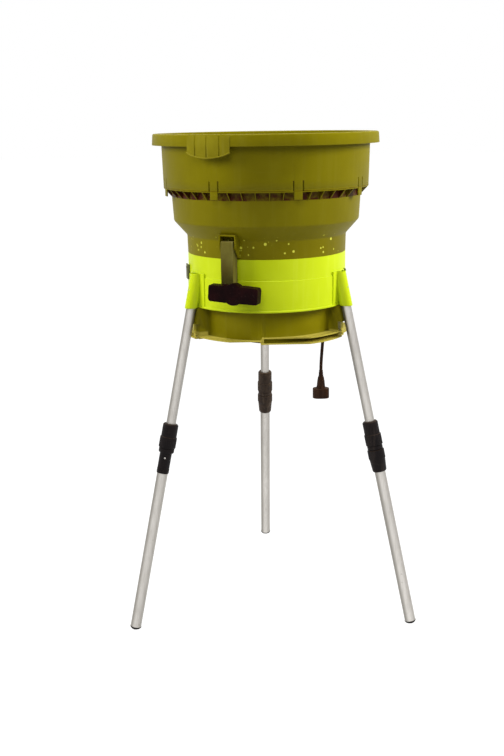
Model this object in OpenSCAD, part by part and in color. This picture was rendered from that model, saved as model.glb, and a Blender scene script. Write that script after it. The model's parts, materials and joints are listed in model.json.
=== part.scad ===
// Three-legged electric leaf shredder.
// The origin is the point on the floor under the drum's axis, +Z is up and the front is towards -Y.

/* [Base ring] */
// Height of the base ring's lower edge above the floor
stand_h = 745.5; // [700:0.5:800]
// Height of the base ring
ring_h = 116.5; // [110:0.5:130]
// Outer radius of the base ring's plain upper wall
ring_r = 182.5; // [180:0.5:190]
// Wall of the base ring
ring_wall = 3; // [2.5:0.1:4]
// How far the lower band stands proud of the upper wall
band_proud = 2; // [1:0.1:3]
// Height of the raised lower band
band_h = 69.5; // [60:0.5:74]
// How far the lower bead stands proud of the upper wall
bead_proud = 5; // [4:0.1:7]
// Height of the lower bead
bead_h = 4; // [3:0.1:6]
// Depth of the recess under the inner ledge
ledge_recess = 4.5; // [3.5:0.1:6]
// Thickness of the inner ledge
ledge_t = 3; // [2.5:0.1:4]
// Radial gap between the outer wall and the chamber liner
liner_gap = 9; // [8.5:0.1:10]
// Wall of the chamber liner
liner_wall = 2.5; // [2:0.1:3]
// How far the liner's top edge lies under the ring's top edge
liner_drop = 4; // [3:0.5:8]

/* [Hopper] */
// Wall of the hopper
hopper_wall = 2.5; // [2:0.1:3]
// How far the rim reaches out beyond the drum's top
rim_reach = 21; // [18:0.1:28]
// How much narrower the rim is at its top
rim_draft = 1.8; // [0.5:0.1:3]
// Height of the rim's outer face
rim_h = 24.5; // [20:0.5:36]
// Height of the upper hopper with its rim
upper_h = 117.5; // [105:0.5:140]
// How much wider the upper drum is at its top than at its lower edge
drum_draft = 2.4; // [1:0.1:4]
// Height of the lower hopper from its seat to its shelf
lower_h = 148.5; // [140:0.5:160]
// Thickness of the shelf that carries the upper hopper
shelf_t = 2.5; // [2:0.1:4]
// Width of the shelf outside the lower drum
shelf_w = 16.8; // [15:0.1:19]
// How much wider the lower drum is at its top than above the funnel
lower_draft = 4.4; // [2:0.1:6]
// How much wider the lower drum is than the neck
funnel_w = 29.3; // [26:0.1:33]
// How much wider the neck is at its top than at its seat
neck_draft = 1; // [0.5:0.1:2]
// Height of the straight neck
neck_h = 40; // [36:0.5:44]
// Height of the funnel between the neck and the lower drum
funnel_h = 33; // [30:0.5:38]
// Radius of the bends at both ends of the funnel
funnel_bend = 6; // [4:0.5:18]
// Depth of the spigot below the hopper's seat
spigot_h = 26; // [20:0.5:28]
// Height of the collar inside the upper drum
collar_h = 19.5; // [12:0.5:24]
// Angle between neighbouring ribs
rib_pitch = 7.5; // [7.5, 9, 15]
// Height of the ribs under the shelf
rib_h = 21; // [14:0.5:28]
// Thickness of a rib
rib_t = 1.8; // [1.2:0.1:3]
// Number of snap tabs
tab_count = 8; // [4, 8]
// Width of a snap tab
tab_w = 17.5; // [12:0.5:22]
// How far a snap tab hangs below the upper drum
tab_drop = 18; // [12:0.5:22]
// Width of the slits beside a snap tab
slit_w = 3.2; // [2:0.1:5]
// Height of the slits beside a snap tab
slit_h = 21.5; // [12:0.5:28]
// Width of a grip lip under the rim
grip_w = 103; // [80:1:120]
// Height of a grip lip at its middle
grip_h = 25; // [20:0.5:30]
// How much the lower edge of a grip lip bows down
grip_bow = 11; // [6:0.5:14]
// How far the edge bead of a grip lip stands out
grip_bead = 3; // [1.5:0.1:4]
// Width of the air gap between a cheek and the latch arm
cheek_gap = 2.7; // [0.5:0.1:3.5]
// Thickness of a latch cheek
cheek_t = 3; // [2.5:0.1:5]
// How far the cheeks reach out beyond the middle of the latch pin
cheek_front = 6; // [5.5:0.1:8]
// Height of the roof's lower face above the latch pin
roof_up = 25; // [22:0.5:28]
// Thickness of the roof over the latch arm
roof_t = 3; // [2:0.1:4]

/* [Latch] */
// Direction of the latch arm round the drum
latch_az = 243.7; // [243:0.1:245]
// Direction of the clamp screw round the drum
clamp_az = 249.9; // [249:0.1:251]
// Height of the latch pin above the hopper's seat
pin_h = 27; // [25:0.5:29]
// Distance from the neck to the middle of the latch pin
pin_out = 17; // [16.5:0.1:18]
// Radius of the latch pin
pin_r = 4.2; // [2:0.1:4.4]
// Width of the latch arm
arm_w = 29; // [24:0.5:34]
// Depth of the latch arm, front to back
arm_d = 20.5; // [18:0.5:22]
// Wall of the latch arm
arm_wall = 3; // [2.5:0.1:4]
// Gap between the latch arm's back and the raised band
arm_clear = 3; // [2.5:0.1:4]
// Height of the latch arm above its pin
arm_top = 14.5; // [12:0.5:15]
// Depth of the clamp screw's axis below the hopper's seat
clamp_drop = 69; // [64:0.5:72]
// Height of the latch arm's foot
foot_h = 26; // [22:0.5:28]
// Radius of the clamp screw
screw_r = 4; // [3:0.1:5]
// Radius of the threaded insert
insert_r = 6.5; // [6:0.1:8]
// Radius of the clamp pad
pad_r = 9; // [7:0.1:11]
// Thickness of the clamp pad
pad_t = 2; // [1.6:0.1:2.2]
// Travel of the clamp pad over three turns of the knob
pad_travel = 3.75; // [3:0.05:4]
// Length of the knob across its wings
knob_w = 112; // [90:1:130]
// Height of the knob's wings
knob_h = 38; // [30:0.5:44]
// Radius of the knob's hub
knob_hub_r = 23.5; // [20:0.5:28]
// Thickness of the knob
knob_t = 25; // [18:0.5:30]
// Gap between the knob and the latch arm's foot
knob_gap = 3; // [2:0.1:5]
// Tilt of the knob's wings when it is tight
knob_tilt = 4.5; // [0:0.5:6]

/* [Discharge skirt] */
// Radial gap between the chamber liner's bore and the skirt
skirt_gap = 2; // [1:0.1:6]
// Wall of the skirt
skirt_wall = 3; // [2:0.1:4]
// Depth of the skirt's plain edge below the base ring
skirt_low = 67; // [60:0.5:74]
// Depth of the bayonet channel's upper lip below the base ring
lip_high = 57.5; // [52:0.5:58]
// Depth of the bayonet channel's lower lip below the base ring
band_low = 73.5; // [72:0.5:78]
// Thickness of the lips
lip_t = 3; // [2:0.1:4]
// How far the lips reach out from the skirt at their flat stretches
lip_flat = 5; // [3:0.5:8]
// How far the lips reach out from the skirt beside the legs
lip_lobe = 27; // [22:0.5:28]
// Share of a third of the lip that lies at the plain height
low_share = 0.45; // [0.3:0.01:0.6]
// Distance between the two web plates at a leg
web_gap = 22; // [16:0.5:26]
// Thickness of a web plate
web_t = 3; // [2:0.1:4]
// Gap between a web and the leg tube
web_clear = 0.5; // [0.3:0.1:2]

/* [Motor] */
// Outer radius of the motor can
can_r = 66; // [64:0.5:70]
// Wall of the motor can
can_wall = 3; // [2.5:0.1:4]
// Height of the motor can below its arms' top face
can_h = 93; // [88:0.5:100]
// Width of a carrier arm
carrier_arm_w = 14; // [10:0.5:20]
// Height of a carrier arm
carrier_arm_h = 22; // [16:0.5:26]
// Thickness of the carrier's outer ring and of the can's top plate
carrier_t = 4; // [3:0.1:5]
// Distance from the base ring's inner wall to the bore of the carrier's outer ring
carrier_ring_w = 21.5; // [20:0.5:28]
// Height of the motor's lower cover
cover_h = 21; // [18:0.5:26]
// Wall of the lower cover
cover_wall = 3.5; // [2.5:0.1:5]
// Radius of the motor shaft
shaft_r = 6; // [5:0.1:8]
// Outer radius of the shaft bearings
bearing_r = 16; // [14:0.5:18]
// Height of the shaft bearings
bearing_h = 9; // [7:0.5:12]
// Radius of the armature
armature_r = 30; // [26:0.5:32]
// Air gap between the armature and the stator
air_gap = 0.8; // [0.5:0.1:1.5]
// Height of the copper ends above and below the stacks
winding_end = 8; // [6:0.5:10]
// Radius of the commutator
commutator_r = 15; // [13.5:0.5:18]
// Height of the commutator
commutator_h = 14; // [10:0.5:15]
// Radius of the cooling fan
fan_r = 55; // [45:0.5:58]
// Height of the cooling fan
fan_h = 6; // [5:0.5:8]
// Number of the fan's blades
fan_blades = 12; // [8, 10, 12]
// Width of a carbon brush
brush_w = 8; // [6:0.5:9]
// Height of a carbon brush
brush_h = 6; // [5:0.5:7]
// Wall round a bearing or a brush
boss_wall = 3; // [2:0.5:4]

/* [Cutting head] */
// Radius of the line head
head_r = 70; // [55:0.5:80]
// Thickness of the line head
head_t = 12; // [10:0.5:14]
// Height of the line head above the carrier
head_lift = 26; // [24:0.5:32]
// Gap between the cutting circle and the chamber liner
cut_gap = 5; // [3:0.5:18]
// Diameter of the cutting line
line_d = 2.6; // [2:0.1:3.2]

/* [Legs] */
// Lean of the legs from upright
leg_tilt = 13; // [10:0.5:15]
// Distance from the ring's upper wall to a leg's axis at the ring's lower edge
leg_out = 20.1; // [19.5:0.1:24]
// Outside radius of the upper leg tubes
upper_tube_r = 11; // [10:0.1:11.2]
// Outside radius of the lower leg tubes
lower_tube_r = 12.5; // [12.4:0.1:13]
// Wall of the leg tubes
tube_wall = 1.2; // [1:0.1:1.3]
// Wall of the leg sockets
socket_wall = 3.4; // [2.5:0.1:5]
// Length of a leg tube inside its socket
socket_depth = 52; // [46:0.5:56]
// Height of the leg sockets
socket_h = 77.5; // [76:0.5:84]
// Half-angle of the mounting strip at each socket
strip_half = 9; // [7:0.1:11]
// How far the mounting strips stand proud of the upper wall
strip_proud = 4; // [3:0.1:5]
// Distance of the socket screw from the top of the leg tube
socket_screw_drop = 12; // [9:0.5:20]
// How far a leg slides in when it is folded
leg_travel = 200; // [150:5:200]
// How far the upper tube reaches below the lowest collar's bottom
tube_overlap = 6; // [0:1:60]
// How far a rubber foot's rim stands out from its tube
foot_lip = 0.5; // [0.3:0.1:1.5]
// Height of a rubber foot's plug inside the tube
foot_plug_h = 14; // [8:0.5:20]
// Thickness of rubber under the tube
foot_sole = 5; // [4:0.5:8]

/* [Collars] */
// Distance along the leg from the floor to the lowest collar
collar_s = 373; // [330:1:420]
// Length of a collar
collar_len = 120; // [110:1:130]
// Height of the sleeve's lower end above the collar's bottom
sleeve_up = 3; // [2:0.5:6]
// Height of the sleeve's middle ring above the collar's bottom
mid_ring_s = 52; // [46:0.5:58]
// Height of the sleeve's middle ring
mid_ring_h = 11; // [8:0.5:14]
// Radius of the sleeve's middle ring
mid_ring_r = 17.8; // [16.5:0.1:19]
// Wall of the sleeve
sleeve_wall = 1.3; // [1:0.1:2]
// Height of the thread ridges on the sleeve
thread_h = 0.5; // [0.3:0.1:0.8]
// Radius of the nuts' grip
nut_r = 19.5; // [18:0.1:20]
// Radius of the upper nut's narrow end
nut_end_r = 17.8; // [17:0.1:18]
// Radius of the lower nut's narrow end
nut_tip_r = 15.6; // [15:0.1:17]
// Length of the upper nut's end wall
nut_end_t = 6; // [4:0.5:9]

/* [Controls] */
// Direction of the power switch round the drum
switch_az = 189.5; // [186:0.1:192]
// Height of the power switch's middle above the ring's lower edge
switch_up = 73.5; // [72:0.5:80]
// Height of the power switch's bezel
switch_h = 34; // [28:0.5:36]
// Width of the power switch's bezel
switch_w = 22; // [18:0.5:26]
// How far the bezel stands out from the ring
switch_out = 6; // [4:0.5:8]
// Direction of the reset button round the drum
reset_az = 342; // [340:0.5:346]
// Radius of the reset button
reset_r = 3.6; // [3:0.1:5]
// Travel of the reset button
reset_travel = 2; // [1:0.1:2.5]
// Direction of the interlock switch round the drum
interlock_az = 280; // [270:1:290]
// Travel of the interlock plunger
plunger_travel = 3; // [2:0.1:4]
// Radius of the interlock plunger
plunger_r = 1.5; // [1.2:0.1:1.6]

/* [Cord and plug] */
// Diameter of the cord
cord_d = 7.4; // [6:0.1:8]
// Height of the cord's gland
gland_h = 30; // [24:0.5:36]
// Height of the plug's strain relief
relief_h = 14; // [10:0.5:20]
// Height of the plug's body
plug_h = 29; // [22:0.5:36]
// Height of the plug's shroud
shroud_h = 23; // [20:0.5:26]
// Width of the plug's shroud
shroud_w = 38.4; // [34:0.2:44]
// Depth of the plug's shroud, front to back
shroud_d = 26; // [22:0.2:32]
// Wall of the plug's shroud
shroud_wall = 2.4; // [1.6:0.1:3]
// Distance between the middles of the blades
blade_pitch = 12.7; // [12:0.1:14]
// Thickness of a blade
blade_t = 1.5; // [1.4:0.1:1.6]
// Width of a blade
blade_w = 6.4; // [6.2:0.1:7]

/* [Hidden] */
$fn = 128;
eps = 0.01;
fit = 0.3;
slip = 0.05;
set_back = 0.2;
leg_names = ["left", "right", "back"];
leg_az = [210, 330, 90];
sleeve_raise = [3, 0, 27];
lower_nut_legs = [1, 2];

ring_top = stand_h + ring_h;
band_r = ring_r + band_proud;
ring_in = ring_r - ring_wall;
ledge_z = stand_h + ledge_recess;
carrier_z = ledge_z + ledge_t;
carrier_top = carrier_z + carrier_t;
liner_r = ring_in - liner_gap;
liner_in = liner_r - liner_wall;
skirt_r = liner_in - skirt_gap;
lip_flat_r = skirt_r + lip_flat;
lip_lobe_r = skirt_r + lip_lobe;
carrier_ring_r = ring_in - carrier_ring_w;
cut_r = liner_in - cut_gap;
ledge_in = liner_in;
annulus_mid = (liner_r + ring_in) / 2;
ledge_screws = [for (i = [0:5]) i * 60];
small_screw_r = 2;
small_head_r = 4;
small_head_h = 1.8;

shelf_z = ring_top + lower_h;
rim_top = shelf_z + upper_h;
rim_bottom = rim_top - rim_h;
neck_top_r = ring_r + neck_draft;
lower_bottom_r = neck_top_r + funnel_w;
lower_top_r = lower_bottom_r + lower_draft;
drum_bottom_r = lower_top_r + shelf_w;
drum_top_r = drum_bottom_r + drum_draft;
rim_r = drum_top_r + rim_reach;
spigot_r = ring_in - 1.5;
funnel_in = liner_in + 1.5;
funnel_lip_h = 6;
funnel_lip_slope = 12;
collar_r = drum_bottom_r - hopper_wall - fit;
grip_az = [240, 60];
first_tab_az = 15;
tab_step = 360 / tab_count;
tab_clear = 3;
tab_az = [for (i = [0:tab_count - 1]) first_tab_az + i * tab_step];
rib_az = [for (i = [0:floor(360 / rib_pitch) - 1]) let (off = (i * rib_pitch - first_tab_az + 360) % tab_step)
    if (off > tab_clear && off < tab_step - tab_clear) i * rib_pitch];
catch_h = 4;
catch_reach = 2.7;

cheek_y = arm_w / 2 + cheek_gap;
arm_back = band_r + arm_clear;
arm_front = arm_back + arm_d;
pin_x = ring_r + pin_out;
pin_z = ring_top + pin_h;
clamp_z = ring_top - clamp_drop;
pad_x = band_r + fit;
pad_pocket = pad_x + pad_t + pad_travel + fit;
insert_x = pad_pocket + 1;
nose_r = screw_r - 1;
knob_x = arm_front + knob_gap;

low_sweep = 120 * low_share;

can_floor = carrier_top - can_h;
can_in = can_r - can_wall;
cover_lap = 8;
cover_floor = can_floor - cover_h + cover_lap;
cover_screw_z = can_floor + cover_lap / 2;
vent_az = [for (i = [0:11]) i * 30];
vent_in = bearing_r + 12;
vent_out = can_r - 16;
vent_w = 5;
cover_screw_az = [for (i = [0:3]) 45 + i * 90];
cover_r = can_r + cover_wall + 0.2;
head_z = carrier_top + head_lift;
nut_seat = head_z + head_t;
nut_h = 8;
nut_corner_r = 9.5;
stud_r = shaft_r - 1;
line_root = shaft_r + 20;
lower_bearing_z = cover_floor + cover_wall;
commutator_z = lower_bearing_z + bearing_h + 1.5;
winding_low = commutator_z + commutator_h;
brush_z = commutator_z + commutator_h / 2;
brush_az = [90, 270];
stack_z = winding_low + winding_end;
boss_top = carrier_top + 6;
upper_bearing_z = boss_top - 4 - bearing_h;
fan_z = upper_bearing_z - 3 - fan_h;
stack_top = fan_z - winding_end;
coil_end = winding_end - 2;
stator_in = armature_r + air_gap;
pole_r = 46;
yoke_r = can_in - 0.2;
pole_half = 50;
coil_half = 74;

leg_r_ring = ring_r + leg_out;
foot_circle = leg_r_ring + stand_h * tan(leg_tilt);
ring_s = stand_h / cos(leg_tilt);
tube_top_s = ring_s + socket_depth;
socket_r = upper_tube_r + socket_wall;
sleeve_in = lower_tube_r + 0.1;
sleeve_r = sleeve_in + sleeve_wall;
thread_r = sleeve_r + thread_h;
foot_r = lower_tube_r + foot_lip;
foot_plug_r = lower_tube_r - tube_wall - slip;
upper_bore = upper_tube_r + fit;
nut_bore = thread_r + fit;
shoulder_s = mid_ring_s + mid_ring_h - 3;
thread_s = [sleeve_up + 3, sleeve_up + 8, collar_len - 20, collar_len - 14];
socket_screw_s = tube_top_s - socket_screw_drop;
collar_reach = collar_s + max(sleeve_raise) + collar_len + leg_travel;
collar_clear_z = collar_reach * cos(leg_tilt) + nut_r * sin(leg_tilt) + 3;

switch_z = stand_h + switch_up;
switch_low = switch_z - switch_h / 2;
switch_high = switch_z + switch_h / 2;
rocker_x = ring_r + 1;
rocker_w = switch_w - 9;
rocker_pin_r = 1.5;
reset_z = switch_z;
plunger_z = ring_top - spigot_h - fit;
plunger_x = spigot_r - hopper_wall / 2;
plunger_len = 9 + plunger_travel;

cord_route = [
    [126, -73, 705], [126, -73, 697], [126, -73, 689], [125.9, -73, 681], [125.7, -73, 673],
    [125.3, -73, 665], [124.8, -73, 656], [124.2, -73, 647], [123.5, -73, 638], [122.8, -73, 629],
    [122.2, -73, 620], [121.7, -73, 612], [121.3, -73, 604], [121, -73, 596], [121, -73, 588]
];
cord_ring_step = 2;
cord_sides = 10;
cord_start = cord_route[0];
cord_end = cord_route[len(cord_route) - 1];
relief_z = cord_end[2] - relief_h;
shroud_top = relief_z - plug_h;
shroud_low = shroud_top - shroud_h;

olive = [0.38, 0.36, 0.06];
dark_olive = [0.33, 0.31, 0.14];
lime = [0.74, 0.85, 0.15];
black = [0.08, 0.07, 0.07];
bright = [0.78, 0.78, 0.8];
steel = [0.55, 0.55, 0.57];
copper = [0.72, 0.42, 0.2];

function unit(v) = v / norm(v);

// Points of an arc of radius r that rounds the corner b between a and c
function corner(a, b, c, r, steps = 4) =
    let (u = unit(a - b), v = unit(c - b), half = acos(u * v) / 2)
    let (o = b + unit(u + v) * r / sin(half), p = b + u * r / tan(half) - o, q = b + v * r / tan(half) - o)
    let (start = atan2(p[1], p[0]), sweep = (atan2(q[1], q[0]) - start + 900) % 360 - 180)
    [for (i = [0:steps]) o + r * [cos(start + sweep * i / steps), sin(start + sweep * i / steps)]];

function leg_r_at(z) = leg_r_ring + (stand_h - z) * tan(leg_tilt);

// Outer line of the lower hopper from its seat up to the shelf, moved out by grow
function hopper_line(grow) =
    let (seat = [ring_r + grow, ring_top], neck = [neck_top_r + grow, ring_top + neck_h])
    let (drum = [lower_bottom_r + grow, ring_top + neck_h + funnel_h])
    let (shelf = [lower_top_r + grow, shelf_z - shelf_t])
    concat([seat], corner(seat, neck, drum, funnel_bend), corner(neck, drum, shelf, funnel_bend), [shelf]);

module turned(points) {
    rotate_extrude() polygon(points);
}

module turned_part(points, start, sweep) {
    rotate([0, 0, start]) rotate_extrude(angle = sweep) polygon(points);
}

module band(r_in, r_out, z_low, z_high) {
    turned([[r_in, z_low], [r_out, z_low], [r_out, z_high], [r_in, z_high]]);
}

module band_part(r_in, r_out, z_low, z_high, start, sweep) {
    turned_part([[r_in, z_low], [r_out, z_low], [r_out, z_high], [r_in, z_high]], start, sweep);
}

module disc(r, z_low, z_high) {
    translate([0, 0, z_low]) cylinder(r = r, h = z_high - z_low);
}

module disc_at(x, r, z_low, z_high) {
    translate([x, 0, 0]) disc(r, z_low, z_high);
}

module around(angles) {
    for (a = angles) rotate([0, 0, a]) children();
}

// A block between two radii, centred on the X axis
module spoke(x_low, x_high, w, z_low, z_high) {
    translate([x_low, -w / 2, z_low]) cube([x_high - x_low, w, z_high - z_low]);
}

// A cylinder along the X axis
module rod_x(r, x_low, x_high) {
    translate([x_low, 0, 0]) rotate([0, 90, 0]) cylinder(r = r, h = x_high - x_low);
}

// Places a leg's own frame: the foot point on the floor, +Z up along the leg and +X outwards
module at_leg(k) {
    rotate([0, 0, leg_az[k]]) translate([foot_circle, 0, 0]) rotate([0, -leg_tilt, 0]) children();
}

module at_latch() {
    rotate([0, 0, latch_az]) children();
}

module at_clamp() {
    rotate([0, 0, clamp_az]) translate([0, 0, clamp_z]) children();
}

module upper_hopper() {
    color(olive) difference() {
        union() {
            turned([
                [drum_bottom_r, shelf_z], [drum_top_r, rim_bottom + 3], [drum_top_r, rim_top - hopper_wall],
                [rim_r - rim_draft - hopper_wall, rim_top - hopper_wall], [rim_r - hopper_wall, rim_bottom],
                [rim_r, rim_bottom], [rim_r - rim_draft, rim_top - 2], [rim_r - rim_draft - 2, rim_top],
                [drum_top_r - hopper_wall + 2, rim_top], [drum_top_r - hopper_wall, rim_top - 3],
                [drum_bottom_r - hopper_wall, shelf_z]
            ]);
            around(grip_az) grip_lip();
        }
        around(tab_az) for (side = [-1, 1])
            translate([0, side * (tab_w + slit_w) / 2, 0])
                spoke(drum_bottom_r - 10, drum_bottom_r + 10, slit_w, shelf_z - 1, shelf_z + slit_h);
    }
    color(olive) around(tab_az) snap_tab();
}

// The lip hangs from the rim, with its lower edge bowed and beaded
module grip_lip() {
    half = asin(grip_w / 2 / rim_r);
    bow_r = (pow(grip_w / 2, 2) + pow(grip_bow, 2)) / (2 * grip_bow);
    bow_z = rim_bottom - grip_h + bow_r;
    inner = rim_r - hopper_wall + set_back;
    intersection() {
        band_part(inner, rim_r - set_back, rim_bottom - grip_h, rim_bottom + 2, -half, 2 * half);
        translate([0, 0, bow_z]) rod_x(bow_r, 0, rim_r * 2);
    }
    intersection() {
        band_part(inner, rim_r + grip_bead, rim_bottom - grip_h, rim_bottom - 2, -half, 2 * half);
        translate([0, 0, bow_z]) difference() {
            rod_x(bow_r, 0, rim_r * 2);
            rod_x(bow_r - hopper_wall, -1, rim_r * 2 + 1);
        }
    }
}

// A springy strip that hooks under the shelf of the lower hopper
module snap_tab() {
    inner = drum_bottom_r - hopper_wall + set_back;
    half = asin(tab_w / 2 / drum_bottom_r);
    catch_z = shelf_z - shelf_t - fit;
    band_part(inner, drum_bottom_r - set_back, shelf_z - tab_drop, shelf_z + 2, -half, 2 * half);
    turned_part([
        [inner + 1, catch_z], [inner - catch_reach, catch_z], [inner + 1, catch_z - catch_h]
    ], -half + 0.5, 2 * half - 1);
}

module lower_hopper() {
    wall_line = hopper_line(0);
    inner_line = hopper_line(-hopper_wall);
    seat_in = [for (i = [len(inner_line) - 1:-1:1]) inner_line[i]];
    color(olive) difference() {
        union() {
            turned(concat(
                wall_line,
                [[drum_bottom_r - 0.1, shelf_z - shelf_t], [drum_bottom_r - 0.1, shelf_z],
                 [collar_r, shelf_z], [collar_r, shelf_z + collar_h],
                 [collar_r - hopper_wall, shelf_z + collar_h],
                 [collar_r - hopper_wall, shelf_z], [lower_top_r - hopper_wall, shelf_z]],
                seat_in,
                [[ring_r - hopper_wall, ring_top + funnel_lip_h + funnel_lip_slope],
                 [funnel_in, ring_top + funnel_lip_h], [funnel_in, ring_top + 3],
                 [spigot_r - hopper_wall, ring_top + 3], [spigot_r - hopper_wall, ring_top - spigot_h],
                 [spigot_r, ring_top - spigot_h], [spigot_r, ring_top]]
            ));
            around(rib_az) shelf_rib();
            at_latch() cheeks();
        }
        around(tab_az)
            spoke(collar_r, drum_bottom_r + 5, tab_w + 1, shelf_z - shelf_t - 1, shelf_z + eps);
        turned(concat([[0, shelf_z - shelf_t]], [for (i = [len(inner_line) - 1:-1:1]) inner_line[i]],
            [[ring_r - hopper_wall, ring_top + funnel_lip_h + funnel_lip_slope], [0, ring_top + 18]]));
    }
}

module shelf_rib() {
    rotate([90, 0, 0]) linear_extrude(rib_t, center = true) polygon([
        [lower_top_r - 1, shelf_z - shelf_t + eps], [drum_bottom_r - 1, shelf_z - shelf_t + eps],
        [drum_bottom_r - 1, shelf_z - shelf_t - 1], [lower_top_r - 0.5, shelf_z - rib_h],
        [lower_top_r - 2, shelf_z - rib_h]
    ]);
}

// Two ears on the neck that carry the latch pin, joined by a flat roof over the latch arm
module cheeks() {
    front = pin_x + cheek_front;
    roof_low = pin_z + roof_up;
    roof_high = roof_low + roof_t;
    for (side = [-1, 1]) translate([0, side * (cheek_y + cheek_t / 2), 0]) difference() {
        rotate([90, 0, 0]) linear_extrude(cheek_t, center = true) polygon([
            [ring_r - 1, ring_top + 5], [pin_x - 9, ring_top + 5], [pin_x + 1, pin_z - 8],
            [front, pin_z + 2], [front, roof_high], [ring_r - 1, roof_high]
        ]);
        translate([pin_x, 0, pin_z]) rotate([90, 0, 0]) cylinder(r = pin_r, h = cheek_t + 2, center = true);
    }
    spoke(ring_r - 1, front, 2 * (cheek_y + cheek_t), roof_low, roof_high);
}

module latch_pin() {
    color(olive) at_latch() translate([pin_x, 0, pin_z]) rotate([90, 0, 0])
        cylinder(r = pin_r, h = 2 * (cheek_y + cheek_t), center = true);
}

// A deep channel that hangs from the pin, with a foot that reaches round to the clamp screw
module latch_arm() {
    foot_top = clamp_z + foot_h / 2;
    foot_end = clamp_az - latch_az + 8;
    half = asin(arm_w / 2 / arm_front);
    color(dark_olive) difference() {
        union() {
            at_latch() rotate([90, 0, 0]) linear_extrude(arm_w, center = true) polygon([
                [arm_back, foot_top - 10], [arm_front, foot_top - 10], [arm_front, pin_z + arm_top - 4],
                [arm_front - 1.5, pin_z + arm_top - 1], [arm_front - 5, pin_z + arm_top],
                [pin_x - 3, pin_z + arm_top], [pin_x - 8, pin_z + 8], [pin_x - 9, pin_z - 5],
                [arm_back, pin_z - 14]
            ]);
            at_latch() band_part(arm_back, arm_front, clamp_z - foot_h / 2, foot_top, -half, half + foot_end);
        }
        at_latch() translate([pin_x, 0, pin_z]) rotate([90, 0, 0])
            cylinder(r = pin_r + slip, h = arm_w + 2, center = true);
        at_latch() spoke(arm_back - 1, arm_front - arm_wall, arm_w - 2 * arm_wall, foot_top, pin_z - 11);
        at_clamp() rod_x(pad_r + 1, arm_back - 5, pad_pocket);
        at_clamp() rod_x(screw_r + 1, pad_pocket - 1, arm_front + 1);
        at_clamp() rod_x(insert_r, insert_x, arm_front + 1);
    }
}

module clamp_insert() {
    color(steel) at_clamp() difference() {
        rod_x(insert_r, insert_x, arm_front - 0.5);
        rod_x(screw_r + slip, insert_x - 1, arm_front);
    }
}

module clamp_pad() {
    color(black) at_clamp() difference() {
        rod_x(pad_r, pad_x, pad_x + pad_t);
        rod_x(nose_r + slip, pad_x + pad_t / 2, pad_x + pad_t + 1);
    }
}

module clamp_screw() {
    color(steel) at_clamp() {
        rod_x(nose_r, pad_x + pad_t / 2 + slip, pad_x + pad_t + 1);
        rod_x(screw_r, pad_x + pad_t + fit, knob_x + knob_t * 0.6);
    }
}

module clamp_knob() {
    color(black) at_clamp() rotate([-knob_tilt, 0, 0]) difference() {
        union() {
            rod_x(knob_hub_r, knob_x, knob_x + knob_t);
            translate([knob_x, 0, 0]) rotate([90, 0, 90]) linear_extrude(knob_t) polygon([
                for (side = [1, -1], point = [[0.5, -0.42], [0.5, 0.38], [0.47, 0.5], [0.15, 0.5]])
                    side * [point[0] * knob_w, point[1] * knob_h]
            ]);
        }
        rod_x(screw_r, knob_x - 1, knob_x + knob_t * 0.6);
    }
}

module leg_socket(k) {
    difference() {
        intersection() {
            at_leg(k) disc(socket_r, ring_s - 20, tube_top_s + 60);
            disc(rim_r, stand_h, stand_h + socket_h);
        }
        disc(liner_r + 1.5, stand_h - 1, ring_top);
    }
}

module base_ring() {
    color(lime) difference() {
        union() {
            turned([
                [ring_in, stand_h], [ring_r + bead_proud, stand_h], [ring_r + bead_proud, stand_h + bead_h],
                [band_r, stand_h + bead_h + 1], [band_r, stand_h + band_h], [ring_r, stand_h + band_h + 1],
                [ring_r, ring_top], [ring_in, ring_top], [ring_in, carrier_z], [ledge_in, carrier_z],
                [ledge_in, ledge_z], [ring_in, ledge_z]
            ]);
            for (k = [0:2]) {
                band_part(ring_in + 1, ring_r + strip_proud, stand_h, stand_h + socket_h + 1,
                    leg_az[k] - strip_half, 2 * strip_half);
                leg_socket(k);
            }
            rotate([0, 0, switch_az])
                spoke(ring_in, ring_r + 2.5, switch_w - 1, switch_low + 0.5, switch_high - 0.5);
        }
        for (k = [0:2]) at_leg(k) {
            disc(upper_tube_r + 0.1, ring_s - 20, tube_top_s + 0.5);
            translate([0, 0, socket_screw_s]) {
                rod_x(small_screw_r + slip, 0, socket_r + 5);
                rod_x(small_screw_r * 2, upper_tube_r + 1.6, socket_r + 5);
            }
        }
        rotate([0, 0, switch_az])
            spoke(ring_in - 5, ring_r + 5, switch_w - 6, switch_low + 3, switch_high - 3);
        rotate([0, 0, reset_az]) translate([0, 0, reset_z]) rod_x(reset_r + 1.5, ring_in - 5, ring_r + 5);
        around(ledge_screws) disc_at(annulus_mid, small_screw_r, ledge_z - 1, carrier_z + 1);
    }
}

module chamber_liner() {
    color(black) band(liner_in, liner_r, carrier_top, ring_top - liner_drop);
}

module socket_screws() {
    color(steel) for (k = [0:2]) at_leg(k) translate([0, 0, socket_screw_s]) {
        rod_x(small_screw_r, upper_tube_r - 4, upper_tube_r + 2);
        rod_x(small_screw_r * 2 - 0.2, upper_tube_r + 1.6, upper_tube_r + 3.2);
    }
}

// Outline of the lips: a wide triangle whose corners are rounded off beside the legs
module lip_outline() {
    intersection() {
        circle(r = lip_lobe_r);
        polygon([for (a = leg_az) 2 * lip_flat_r * [cos(a), sin(a)]]);
    }
}

module lip(z_low, z_high, start, sweep) {
    reach = 2 * lip_lobe_r;
    translate([0, 0, z_low]) linear_extrude(z_high - z_low) intersection() {
        difference() {
            lip_outline();
            circle(r = skirt_r - 1);
        }
        polygon(concat([[0, 0]], [for (i = [0:4]) let (a = start + sweep * i / 4) reach * [cos(a), sin(a)]]));
    }
}

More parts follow.
